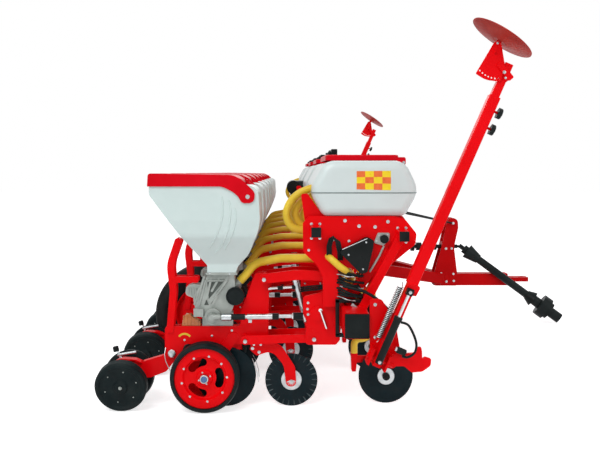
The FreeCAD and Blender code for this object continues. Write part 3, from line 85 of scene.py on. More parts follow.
# places and turns of the CAD that the trims stand on
END_Y = 2.571  # outer face of the end plates
BEAM_END_Y = (2.640, 2.6602, 2.667)  # start of the plug, end of the tube and face of the cap
TOOLBAR_END_Y = (2.770, 2.8003, 2.809)
MARKER_Y = 2.850  # middle of a marker arm
MARKER_HINGE = (0.109, 0.385)  # x ahead of the toolbar and z of the arm's fold
MARKER_LEAN = math.radians(23.8)  # of the raised arm, forward
MARKER_CYLINDER_Y = 2.8876  # the cylinder lies outside this plane
CLOSING_TILT = math.radians(12.0)
CLOSING_X = -1.338  # of the closing wheels, from the toolbar
LINK_FACE = 0.1058  # how far the faces that carry bolts stand off a row's middle
HEADSTOCK_FACE = 0.0938
ROW_FRAME_FACE = 0.0278
DRIVE_LANE = 0.098  # the meter's drive shaft, to the right of the row's middle
OUT = Vector((0, -1, 0))  # towards the machine's right

TREAD_RIBS = 60  # on a closing wheel
FLUTES = 26  # on a coulter
LUGS = 44  # on a transport tyre

# radii where the colour of a turning node changes
GAUGE_RIM = 0.1735
COULTER_HUB = 0.0612
FERT_HUB = 0.0535
TYRE_RIM = 0.2045


# ---------------------------------------------------------------- materials
class Tree:
    """The node tree of a material or world, with short calls for the nodes used here."""

    def __init__(self, owner):
        self.owner = owner
        owner.use_nodes = True
        self.nodes = owner.node_tree.nodes
        self.links = owner.node_tree.links
        self.shader = self.nodes.get("Principled BSDF")
        self.place = self.nodes.new("ShaderNodeTexCoord").outputs["Object"]

    def put(self, socket, value):
        if isinstance(value, bpy.types.NodeSocket):
            self.links.new(value, socket)
        else:
            socket.default_value = value

    def noise(self, scale, detail=3.0, rough=0.55):
        node = self.nodes.new("ShaderNodeTexNoise")
        node.inputs["Scale"].default_value = scale
        node.inputs["Detail"].default_value = detail
        node.inputs["Roughness"].default_value = rough
        self.put(node.inputs["Vector"], self.place)
        return node.outputs["Fac"]

    def span(self, value, lo, hi, a=0.0, b=1.0):
        node = self.nodes.new("ShaderNodeMapRange")
        self.put(node.inputs["Value"], value)
        for key, number in zip(("From Min", "From Max", "To Min", "To Max"), (lo, hi, a, b)):
            node.inputs[key].default_value = number
        return node.outputs["Result"]

    def math(self, operation, a, b=0.0):
        node = self.nodes.new("ShaderNodeMath")
        node.operation = operation
        self.put(node.inputs[0], a)
        self.put(node.inputs[1], b)
        return node.outputs[0]

    def mix(self, fac, a, b):
        node = self.nodes.new("ShaderNodeMix")
        node.data_type = "RGBA"
        self.put(node.inputs["Factor"], fac)
        self.put(node.inputs[6], a)
        self.put(node.inputs[7], b)
        return node.outputs[2]

    def axes(self):
        node = self.nodes.new("ShaderNodeSeparateXYZ")
        self.put(node.inputs[0], self.place)
        return node.outputs

    def bump(self, height, strength, distance):
        node = self.nodes.new("ShaderNodeBump")
        node.inputs["Strength"].default_value = strength
        node.inputs["Distance"].default_value = distance
        self.put(node.inputs["Height"], height)
        return node.outputs["Normal"]


def rgb(*values):
    return (*values, 1.0)


def finish(name, dark, light, rough, scale=3.0, metal=0.0, coat=0.0, grain=None, dust=0.0, specular=0.5):
    """A surface whose colour drifts between dark and light and whose roughness drifts between the two given.

    grain is a fine bump, as (scale, strength, distance); dust is how much soil clings near the ground.
    """
    tree = Tree(bpy.data.materials.new(name))
    drift = tree.span(tree.noise(scale, 4.0, 0.6), 0.3, 0.7)
    colour = tree.mix(drift, rgb(*dark), rgb(*light))
    if dust:
        low = tree.span(tree.axes()["Z"], 0.55, 0.0, 0.0, dust)
        patch = tree.span(tree.noise(9.0, 6.0, 0.7), 0.45, 0.75)
        colour = tree.mix(tree.math("MULTIPLY", low, patch), colour, rgb(0.42, 0.36, 0.28))
    tree.put(tree.shader.inputs["Base Color"], colour)
    shine = tree.span(tree.noise(scale * 2.7, 5.0, 0.65), 0.3, 0.7, rough[0], rough[1])
    tree.put(tree.shader.inputs["Roughness"], shine)
    tree.shader.inputs["Metallic"].default_value = metal
    tree.shader.inputs["Specular IOR Level"].default_value = specular
    tree.shader.inputs["Coat Weight"].default_value = coat
    tree.shader.inputs["Coat Roughness"].default_value = 0.12
    if grain:
        height = tree.noise(grain[0], 2.0, 0.5)
        tree.put(tree.shader.inputs["Normal"], tree.bump(height, grain[1], grain[2]))
    return tree.owner


RED = finish("red_paint", (0.80, 0.001, 0.003), (0.93, 0.002, 0.006), (0.26, 0.38), 2.2,
             grain=(260, 0.08, 0.0006), specular=0.09)
DEEP_RED = finish("frame_paint", (0.48, 0.001, 0.002), (0.64, 0.002, 0.004), (0.30, 0.42), 1.6,
                  grain=(260, 0.08, 0.0006), specular=0.06)
LID_RED = finish("lid_plastic", (0.62, 0.001, 0.007), (0.76, 0.003, 0.014), (0.28, 0.42), 3.0,
                 grain=(420, 0.10, 0.0004), specular=0.07)
WHITE = finish("white_plastic", (0.60, 0.715, 0.69), (0.69, 0.80, 0.775), (0.36, 0.48), 2.4, coat=0.15,
               grain=(380, 0.12, 0.0005))
TANK_WHITE = finish("tank_plastic", (0.62, 0.70, 0.685), (0.71, 0.80, 0.785), (0.34, 0.46), 1.8, coat=0.2,
                    grain=(320, 0.12, 0.0005))
YELLOW = finish("hose_plastic", (0.76, 0.50, 0.030), (0.93, 0.68, 0.060), (0.28, 0.42), 5.0,
                grain=(160, 0.12, 0.0008), specular=0.25)
ALLOY = finish("cast_alloy", (0.27, 0.30, 0.275), (0.43, 0.46, 0.43), (0.40, 0.58), 9.0, metal=0.35,
               grain=(520, 0.30, 0.0006), specular=0.3)
ZINC = finish("zinc_plate", (0.36, 0.39, 0.40), (0.56, 0.59, 0.60), (0.24, 0.40), 26.0, metal=1.0,
              grain=(300, 0.10, 0.0003))
CHROME = finish("chrome_rod", (0.56, 0.58, 0.59), (0.68, 0.70, 0.71), (0.08, 0.15), 8.0, metal=1.0)
BLUED = finish("disc_steel", (0.002, 0.008, 0.011), (0.007, 0.019, 0.024), (0.28, 0.44), 7.0,
               grain=(240, 0.10, 0.0004), dust=0.02, specular=0.10)
RUBBER = finish("wheel_rubber", (0.002, 0.006, 0.007), (0.009, 0.017, 0.018), (0.48, 0.68), 8.0,
                grain=(480, 0.22, 0.0005), dust=0.03, specular=0.12)
TYRE_RUBBER = finish("tyre_rubber", (0.006, 0.007, 0.007), (0.018, 0.019, 0.019), (0.55, 0.76), 6.0,
                     grain=(420, 0.25, 0.0006), dust=0.04, specular=0.14)
BLACK = finish("black_paint", (0.003, 0.005, 0.005), (0.010, 0.013, 0.013), (0.24, 0.38), 5.0,
               grain=(240, 0.08, 0.0005), specular=0.13)
PLASTIC = finish("black_plastic", (0.003, 0.006, 0.006), (0.011, 0.016, 0.016), (0.34, 0.52), 6.0,
                 grain=(420, 0.20, 0.0005), specular=0.13)
BLUE = finish("cap_blue", (0.03, 0.10, 0.26), (0.06, 0.17, 0.38), (0.25, 0.40), 20.0, coat=0.2)
AMBER = finish("seed_tray", (0.42, 0.10, 0.01), (0.60, 0.18, 0.02), (0.20, 0.32), 14.0, coat=0.3)
PINK = finish("disc_paint", (0.34, 0.020, 0.016), (0.52, 0.055, 0.040), (0.36, 0.50), 6.0,
              grain=(260, 0.10, 0.0005), specular=0.12)
FLUTE = finish("flute_steel", (0.030, 0.046, 0.050), (0.060, 0.085, 0.090), (0.26, 0.40), 12.0, metal=0.2,
               specular=0.25)
# painted shade: a darker copy of the cast alloy, for the shade inside the seed meters' cast pockets
PAINTED_POCKET_SHADE = finish("painted_pocket_shade", (0.060, 0.070, 0.062), (0.110, 0.125, 0.115), (0.45, 0.60), 14.0,
                    metal=0.3, specular=0.2)
SEAM = finish("moulded_seam", (0.20, 0.25, 0.24), (0.28, 0.34, 0.33), (0.40, 0.52), 8.0, specular=0.2)


def checker_decal():
    """Orange and yellow squares of the sticker on the end tanks."""
    tree = Tree(bpy.data.materials.new("sticker"))
    node = tree.nodes.new("ShaderNodeTexChecker")
    node.inputs["Scale"].default_value = 1.0
    uv = tree.nodes.new("ShaderNodeTexCoord").outputs["UV"]
    tree.put(node.inputs["Vector"], uv)
    drift = tree.span(tree.noise(30.0), 0.3, 0.7)
    tree.put(node.inputs["Color1"], tree.mix(drift, rgb(0.80, 0.13, 0.02), rgb(0.88, 0.18, 0.03)))
    tree.put(node.inputs["Color2"], tree.mix(drift, rgb(0.92, 0.66, 0.005), rgb(0.96, 0.74, 0.01)))
    tree.put(tree.shader.inputs["Base Color"], node.outputs["Color"])
    tree.put(tree.shader.inputs["Roughness"], tree.span(tree.noise(60.0), 0.3, 0.7, 0.25, 0.40))
    return tree.owner


STICKER = checker_decal()


# ---------------------------------------------------------------- mesh helpers
def piece(name, mesh, body, material, smooth=35):
    """A finished object that rides on a CAD body."""
    thing = bpy.data.objects.new(name, mesh)
    bpy.context.scene.collection.objects.link(thing)
    mesh.materials.append(material)
    mesh.shade_smooth()
    mesh.set_sharp_from_angle(angle=math.radians(smooth))
    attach(thing, body)


def to_mesh(name, bm):
    bmesh.ops.recalc_face_normals(bm, faces=bm.faces)
    mesh = bpy.data.meshes.new(name)
    bm.to_mesh(mesh)
    bm.free()
    return mesh


def lathe(bm, profile, place, steps=48, closed=False):
    """Turns (radius, along) points about the local Y axis; place carries them to the machine."""
    rings = []
    for k in range(steps):
        turn = 2 * math.pi * k / steps
        c, s = math.cos(turn), math.sin(turn)
        rings.append([bm.verts.new(place @ Vector((r * c, along, r * s))) for r, along in profile])
    last = len(profile) if closed else len(profile) - 1
    for k in range(steps):
        a, b = rings[k], rings[(k + 1) % steps]
        for i in range(last):
            j = (i + 1) % len(profile)
            bm.faces.new((a[i], a[j], b[j], b[i]))
    if not closed:
        for end in (0, -1):
            bm.faces.new([ring[end] for ring in rings])


def prism(bm, outline, place, depth, bevel=0.0):
    """A flat outline (x, z) given a thickness along local Y."""
    near = [bm.verts.new(place @ Vector((x, 0, z))) for x, z in outline]
    far = [bm.verts.new(place @ Vector((x, depth, z))) for x, z in outline]
    faces = [bm.faces.new(near), bm.faces.new(list(reversed(far)))]
    for i in range(len(outline)):
        j = (i + 1) % len(outline)
        faces.append(bm.faces.new((near[j], near[i], far[i], far[j])))
    if bevel:
        edges = {e for f in faces for e in f.edges}
        bmesh.ops.bevel(bm, geom=list(edges), offset=bevel, segments=2, affect="EDGES", profile=0.6)


def looking(centre, axis):
    """Local +Y along axis, origin at centre."""
    y = Vector(axis).normalized()
    x = Vector((0, 0, 1)).cross(y)
    if x.length < 1e-6:
        x = Vector((1, 0, 0))
    x.normalize()
    z = x.cross(y)
    turn = Matrix((x, y, z)).transposed().to_4x4()
    return Matrix.Translation(Vector(centre)) @ turn


def hexagon(radius, turn=0.0):
    return [(radius * math.cos(turn + k * math.pi / 3), radius * math.sin(turn + k * math.pi / 3))
            for k in range(6)]


def bolt(bm, centre, axis, size, washer=True):
    """Hexagon head on a washer, standing on a face whose outward direction is axis.

    size is the thread's diameter.
    """
    place = looking(centre, axis)
    start = 0.0
    if washer:
        ring = [(size * 1.02, -0.0005), (size * 1.05, size * 0.14), (size * 0.6, size * 0.18)]
        lathe(bm, ring, place, 16)
        start = size * 0.14
    head = place @ Matrix.Translation((0, start, 0))
    prism(bm, hexagon(size * 0.92, 0.3), head, size * 0.52, size * 0.07)
    thread = [(size * 0.44, start + size * 0.4), (size * 0.42, start + size * 0.72),
              (size * 0.3, start + size * 0.78)]
    lathe(bm, thread, place, 12)


def tube(bm, points, radius, sides=10, ends=True):
    """A round tube through points."""
    points = [Vector(p) for p in points]
    rings = []
    up = None
    for i, p in enumerate(points):
        ahead = points[min(i + 1, len(points) - 1)] - points[max(i - 1, 0)]
        ahead.normalize()
        if up is None:
            up = ahead.orthogonal().normalized()
        up = (up - ahead * up.dot(ahead)).normalized()
        side = ahead.cross(up)
        rings.append([bm.verts.new(p + (up * math.cos(t) + side * math.sin(t)) * radius)
                      for t in (2 * math.pi * k / sides for k in range(sides))])
    for a, b in zip(rings, rings[1:]):
        for k in range(sides):
            bm.faces.new((a[k], a[(k + 1) % sides], b[(k + 1) % sides], b[k]))
    if ends:
        for ring in (rings[0], rings[-1]):
            bm.faces.new(ring)


def spring(bm, start, end, radius, wire, turns):
    """A helical tension spring with its two hooks along the same line."""
    start, end = Vector(start), Vector(end)
    along = (end - start).normalized()
    side = along.orthogonal().normalized()
    other = along.cross(side)
    hook = radius * 1.6
    length = (end - start).length - 2 * hook
    points = [start]
    steps = int(turns * 12)
    for k in range(steps + 1):
        t = 2 * math.pi * turns * k / steps
        coil = (side * math.cos(t) + other * math.sin(t)) * radius
        points.append(start + along * (hook + length * k / steps) + coil)
    points.append(end)
    tube(bm, points, wire, 6)


def smooth_path(points, steps=6):
    """Points on a smooth curve through the given ones."""
    points = [Vector(p) for p in points]
    out = []
    for i in range(len(points) - 1):
        a = points[max(i - 1, 0)]
        b, c = points[i], points[i + 1]
        d = points[min(i + 2, len(points) - 1)]
        square, cube = 2 * a - 5 * b + 4 * c - d, 3 * b - a - 3 * c + d
        for k in range(steps):
            t = k / steps
            out.append(0.5 * (2 * b + (c - a) * t + square * t * t + cube * t ** 3))
    out.append(points[-1])
    return out


# ---------------------------------------------------------------- CAD nodes: materials by place
def paint(names, base, rules=()):
    """Gives CAD nodes their materials.

    A rule is (material, test); test takes the polygons' centres as columns and says which wear it.
    """
    for name in [names] if isinstance(names, str) else names:
        mesh = nodes[name].data
        mesh.materials.clear()
        mesh.materials.append(base)
        if not rules:
            continue
        count = len(mesh.polygons)
        centres = np.zeros(count * 3, np.float32)
        mesh.polygons.foreach_get("center", centres)
        c = centres.reshape(-1, 3).T
        which = np.zeros(count, np.int32)
        for number, (material, test) in enumerate(rules, start=1):
            mesh.materials.append(material)
            which[test(c)] = number
        mesh.polygons.foreach_set("material_index", which)


def off_axis(c, centre):
    return np.hypot(c[0] - centre.x, c[2] - centre.z)


def from_row(c):
    """Distance sideways from the nearest row's middle."""
    places = np.array(list(row_y.values()))
    return np.abs(c[1][:, None] - places[None, :]).min(axis=1)


def row_side(c):
    """Signed distance from the nearest row's middle; negative towards the machine's right."""
    places = np.array(list(row_y.values()))
    gaps = c[1][:, None] - places[None, :]
    return gaps[np.arange(len(gaps)), np.abs(gaps).argmin(axis=1)]


def off_line(c, start, end):
    """Distance, seen from the side, to the line between two (x, z) places measured from the toolbar."""
    ax, az = BAR + start[0], start[1]
    bx, bz = end[0] - start[0], end[1] - start[1]
    t = np.clip(((c[0] - ax) * bx + (c[2] - az) * bz) / (bx * bx + bz * bz), 0, 1)
    return np.hypot(c[0] - ax - t * bx, c[2] - az - t * bz)


def along_marker(c):
    """Distance along the raised marker arm from its hinge, and ahead of it."""
    x, z = c[0] - BAR - MARKER_HINGE[0], c[2] - MARKER_HINGE[1]
    s, k = math.sin(MARKER_LEAN), math.cos(MARKER_LEAN)
    return x * s + z * k, x * k - z * s


def in_x(c, lo, hi):
    return (c[0] > BAR + lo) & (c[0] < BAR + hi)


def silver_tubes(c):
    """The two spring tubes of a headstock."""
    y = row_side(c)
    near = off_line(c, (-0.266, 0.500), (-0.339, 0.771)) < 0.0175
    return near & (((y > -0.0535) & (y < -0.0185)) | ((y > 0.0185) & (y < 0.0415)))


def clamp_rods(c):
    level = np.minimum(np.abs(c[2] - 0.631), np.abs(c[2] - 0.467))
    return (level < 0.0095) & (np.abs(np.abs(row_side(c)) - 0.050) < 0.0095) & in_x(c, -0.0695, 0.2)


def meter_port(c):
    y = row_side(c)
    return (np.hypot(c[0] - BAR + 0.684, c[2] - 0.660) < 0.0525) & (y < -0.0295) & (y > -0.0645)


def shaft_sleeves(c):
    lane = np.abs(row_side(c) + DRIVE_LANE) < 0.0230
    return lane & (c[2] < 0.60) & (in_x(c, -0.7035, -0.6225) | in_x(c, -0.3452, -0.28))


def marker_cylinder(c):
    along = along_marker(c)[0]
    return (np.abs(c[1]) > MARKER_CYLINDER_Y) & ((along < 0.262) | (np.abs(along - 0.400) < 0.0215))


def marker_rod(c):
    along = along_marker(c)[0]
    return (np.abs(c[1]) > MARKER_CYLINDER_Y) & (along > 0.262) & (along < 0.378)


def marker_knobs(c):
    along, ahead = along_marker(c)
    return (ahead > 0.0495) & (along > 1.33) & (along < 1.495)


def axle_ends(c):
    gauge = (off_axis(c, GAUGE) < 0.016) & (from_row(c) > 0.0365)
    return gauge | (off_axis(c, COULTER) < 0.019)


def link_pins(c):
    return from_row(c) > 0.0805


def twin_stays(c):
    """The stays from the drawbar's tower to the front rail."""
    return (c[2] > 0.885) & in_x(c, 0.0, 1.098)


def gear_drops(c):
    """The short pins between the meters' gears and their drive shafts."""
    return in_x(c, -1.2, -0.757)


def drive_flange(c):
    return c[2] > 0.9


def flange_hub(c):
    return drive_flange(c) & (c[1] < -2.5835)


paint(["main_frame", "row_frames", "marker_brackets", "transport_arms", "fertiliser_openers"], RED)
paint("drawbar", DEEP_RED, [(BLACK, twin_stays)])
paint("fertiliser_tanks", TANK_WHITE)
paint("row_headstocks", RED, [(ZINC, silver_tubes), (ZINC, clamp_rods)])
paint("parallel_links", RED, [(ZINC, link_pins)])
paint("wheel_arms", RED, [(ZINC, axle_ends)])
paint("seed_hoppers", WHITE)
paint("seed_meters", ALLOY, [(PLASTIC, meter_port)])
paint("meter_drives", ZINC,
      [(ALLOY, gear_drops), (PLASTIC, shaft_sleeves), (ALLOY, drive_flange), (PLASTIC, flange_hub)])
paint("fan_and_driveline", BLACK)
paint("hoses", YELLOW)
paint([f"fertiliser_lid_{i}" for i in TANKS], LID_RED)
paint([f"hopper_lid_{i}" for i in ROWS], LID_RED)
paint([f"gauge_wheels_{i}" for i in ROWS], RED, [(RUBBER, lambda c: off_axis(c, GAUGE) > GAUGE_RIM)])
paint([f"closing_wheel_{i}_{name}" for i in ROWS for name, side in SIDES], RUBBER)
paint("coulter_discs", BLUED, [(ZINC, lambda c: off_axis(c, COULTER) < COULTER_HUB)])
paint("opener_discs", BLUED)
paint("fertiliser_discs", BLUED, [(ZINC, lambda c: off_axis(c, FERT) < FERT_HUB)])
paint("transport_wheels", TYRE_RUBBER, [(RED, lambda c: off_axis(c, TYRE) < TYRE_RIM)])
paint(["marker_arm_left", "marker_arm_right"], RED,
      [(BLACK, marker_cylinder), (CHROME, marker_rod), (PLASTIC, marker_knobs)])
paint(["marker_disc_left", "marker_disc_right"], PINK)
paint("pto_shaft", PLASTIC)


# ---------------------------------------------------------------- places of the trims
def at(x, y, z):
    """A point measured from the toolbar's centre line."""
    return Vector((BAR + x, y, z))


def strand(line, y, side=-1):
    """The points of a line given as (x, distance outward from y, z)."""
    return [at(x, y + side * off, z) for x, off, z in line]


def on_marker(along, ahead, y):
    """A point measured along the raised marker arm from its hinge and ahead of it, at a given y."""
    c, s = math.cos(MARKER_LEAN), math.sin(MARKER_LEAN)
    return at(MARKER_HINGE[0] + s * along + c * ahead, y, MARKER_HINGE[1] + c * along - s * ahead)


def beside(centre, y, radius=0.0, degrees=0.0):
    """A point at y beside a wheel's centre, or round it at a radius and an angle."""
    t = math.radians(degrees)
    return Vector((centre.x + radius * math.cos(t), y, centre.z + radius * math.sin(t)))


class Kit:
    """Meshes that grow piece by piece, one for each name, and become objects at the end."""

    def __init__(self):
        self.meshes = {}

    def mesh(self, name, body, material, slot, smooth=35):
        if name not in self.meshes:
            self.meshes[name] = (bmesh.new(), body, material, slot, smooth)
        return self.meshes[name][0]

    def place(self):
        for name, (bm, body, material, slot, smooth) in self.meshes.items():
            piece(name, to_mesh(name, bm), body, material, smooth)


KIT = Kit()


def block(bm, x0, x1, y0, y1, z0, z1, bevel=0.001):
    """A box given from the toolbar's centre line, with eased edges."""
    outline = [(x0, z0), (x1, z0), (x1, z1), (x0, z1)]
    prism(bm, outline, Matrix.Translation(at(0, y0, 0)), y1 - y0, bevel)


def cylinder(bm, centre, axis, radius, length, steps=20, ease=0.0008):
    """A short turned pin or cap, standing on centre along axis."""
    profile = [(radius, 0), (radius, length - ease), (radius - ease, length)]
    lathe(bm, profile, looking(centre, axis), steps)


# ---------------------------------------------------------------- wheels
def gauge_wheel_trims(n):
    """Rim bolts, hub bolts and the capped axle end on both wheels of a row."""
    y = row_y[n]
    body = f"gauge_wheels_{n}"
    zinc = KIT.mesh(f"gauge_bolts_{n}", body, ZINC, "zinc_steel")
    caps = KIT.mesh(f"gauge_caps_{n}", body, BLUE, None)
    for side in (-1, 1):
        out = Vector((0, side, 0))
        for angle in (4, 41, 78, 117, 154, -169, -129, -82, -37):
            bolt(zinc, beside(GAUGE, y + side * 0.1388, 0.1305, angle), out, 0.0062)
        for k in range(4):
            bolt(zinc, beside(GAUGE, y + side * 0.1288, 0.0345, 20 + 90 * k), out, 0.0046)
        place = looking(beside(GAUGE, y + side * 0.129), out)
        lathe(zinc, [(0.0245, 0), (0.0245, 0.024), (0.0225, 0.026), (0.0185, 0.026), (0.0185, 0.0)],
              place, 32, True)
        lathe(caps, [(0.0184, 0.001), (0.0184, 0.023), (0.016, 0.0255), (0.006, 0.027)], place, 28)


def closing_wheel_trims(n, name, side):
    """Face screws, hub nut and the fine ribs of the tread."""
    body = f"closing_wheel_{n}_{name}"
    centre = at(CLOSING_X, row_y[n] + side * 0.103, CLOSING_Z)
    tilt = Matrix.Translation(centre) @ Matrix.Rotation(-side * CLOSING_TILT, 4, "X")
    out = (tilt.to_3x3() @ Vector((0, side, 0))).normalized()
    zinc = KIT.mesh(f"closing_bolts_{n}_{name}", body, ALLOY, "zinc_steel")
    for k in range(6):
        t = math.radians(60 * k + 18)
        screw = tilt @ Vector((0.095 * math.cos(t), side * 0.0209, 0.095 * math.sin(t)))
        cylinder(zinc, screw, out, 0.0040, 0.003, 12)
    bolt(zinc, tilt @ Vector((0, side * 0.0328, 0)), out, 0.010)
    ribs = KIT.mesh(f"closing_tread_{n}_{name}", body, RUBBER, "black_rubber", 30)
    for k in range(TREAD_RIBS):
        turn = 2 * math.pi * k / TREAD_RIBS
        place = tilt @ Matrix.Rotation(turn, 4, "Y")
        outline = [(0.1490, -0.0035), (0.1509, -0.0022), (0.1509, 0.0022), (0.1490, 0.0035)]
        prism(ribs, [(r - 0.0009, z) for r, z in outline], place @ Matrix.Translation((0, -0.020, 0)), 0.040)


for n in ROWS:
    gauge_wheel_trims(n)
    for name, side in SIDES:
        closing_wheel_trims(n, name, side)


def disc_trims():
    """Flutes of the coulters, their nuts, and the nuts of the fertiliser discs."""
    flutes = KIT.mesh("coulter_flutes", "coulter_discs", FLUTE, "blued_steel", 25)
    nuts = KIT.mesh("coulter_nuts", "frame", ZINC, "zinc_steel")
    black = KIT.mesh("fertiliser_disc_nuts", "frame", BLACK, "black_paint")
    for n in ROWS:
        y = row_y[n]
        for k in range(FLUTES):
            turn = Matrix.Rotation(2 * math.pi * k / FLUTES, 4, "Y")
            for side in (-1, 1):
                place = Matrix.Translation(beside(COULTER, y)) @ turn
                low, top = side * 0.0023, side * 0.0066
                ring = [(0.118, 0.0), (0.128, -0.0034), (0.1545, -0.0056), (0.1545, 0.0056), (0.128, 0.0034)]
                base = [flutes.verts.new(place @ Vector((r, low, z))) for r, z in ring]
                ridge = [flutes.verts.new(place @ Vector((0.132, top, 0))),
                         flutes.verts.new(place @ Vector((0.1535, top, 0)))]
                for quad in ((0, 1, ridge[0]), (1, 2, ridge[1], ridge[0]), (2, 3, ridge[1]),
                             (3, 4, ridge[0], ridge[1]), (4, 0, ridge[0])):
                    flutes.faces.new([v if isinstance(v, bmesh.types.BMVert) else base[v] for v in quad])
                flutes.faces.new(list(reversed(base)))
        bolt(nuts, beside(COULTER, y - 0.042), OUT, 0.0105)
        inward = 1 if y < 0 else -1
        outward = (0, -inward, 0)
        cylinder(black, beside(FERT, y + inward * 0.030), outward, 0.0225, 0.008, 28, 0.002)
        bolt(black, beside(FERT, y + inward * 0.023), outward, 0.012)


disc_trims()


# ---------------------------------------------------------------- row units
def on_skin(name, points):
    """Points (x, z) laid on the near skin of a CAD node at row 1, with y measured from the row's middle."""
    out = []
    for x, z in points:
        start = at(x, -4.0, z)
        hit, place = nodes[name].ray_cast(start, Vector((0, 1, 0)))[:2]
        if hit:
            out.append(Vector((place.x, place.y - row_y[1], place.z)))
    return out


def run(points, steps=5):
    """A smooth (x, z) line through a few points."""
    return [(p.x, p.z) for p in smooth_path([Vector((x, 0, z)) for x, z in points], steps)]


HOPPER_RIBS = [on_skin("seed_hoppers", run(line)) for line in (
    ((-0.748, 1.246), (-0.742, 1.172), (-0.757, 1.086), (-0.788, 1.012), (-0.826, 0.949)),
    ((-0.709, 1.226), (-0.699, 1.160), (-0.714, 1.060), (-0.750, 0.972), (-0.794, 0.916)),
    ((-0.675, 1.180), (-0.669, 1.120), (-0.694, 1.022), (-0.738, 0.941)))]
METER_RIBS = [on_skin("seed_meters", run(line)) for line in (
    ((-0.880, 0.752), (-0.902, 0.674), (-0.926, 0.598)), ((-0.858, 0.752), (-0.876, 0.674), (-0.894, 0.604)),
    ((-0.728, 0.752), (-0.778, 0.684), (-0.829, 0.618)), ((-0.845, 0.748), (-0.786, 0.750), (-0.742, 0.752)))]
METER_BOSS = on_skin("seed_meters", [(-0.814, 0.539)])
# outlines of the seed meters' cast pockets, filled flat with painted shade below
METER_SHADE_OUTLINES = [on_skin("seed_meters", line) for line in (
    ((-0.848, 0.740), (-0.752, 0.743), (-0.838, 0.642)), ((-0.866, 0.606), (-0.838, 0.606), (-0.852, 0.640)))]


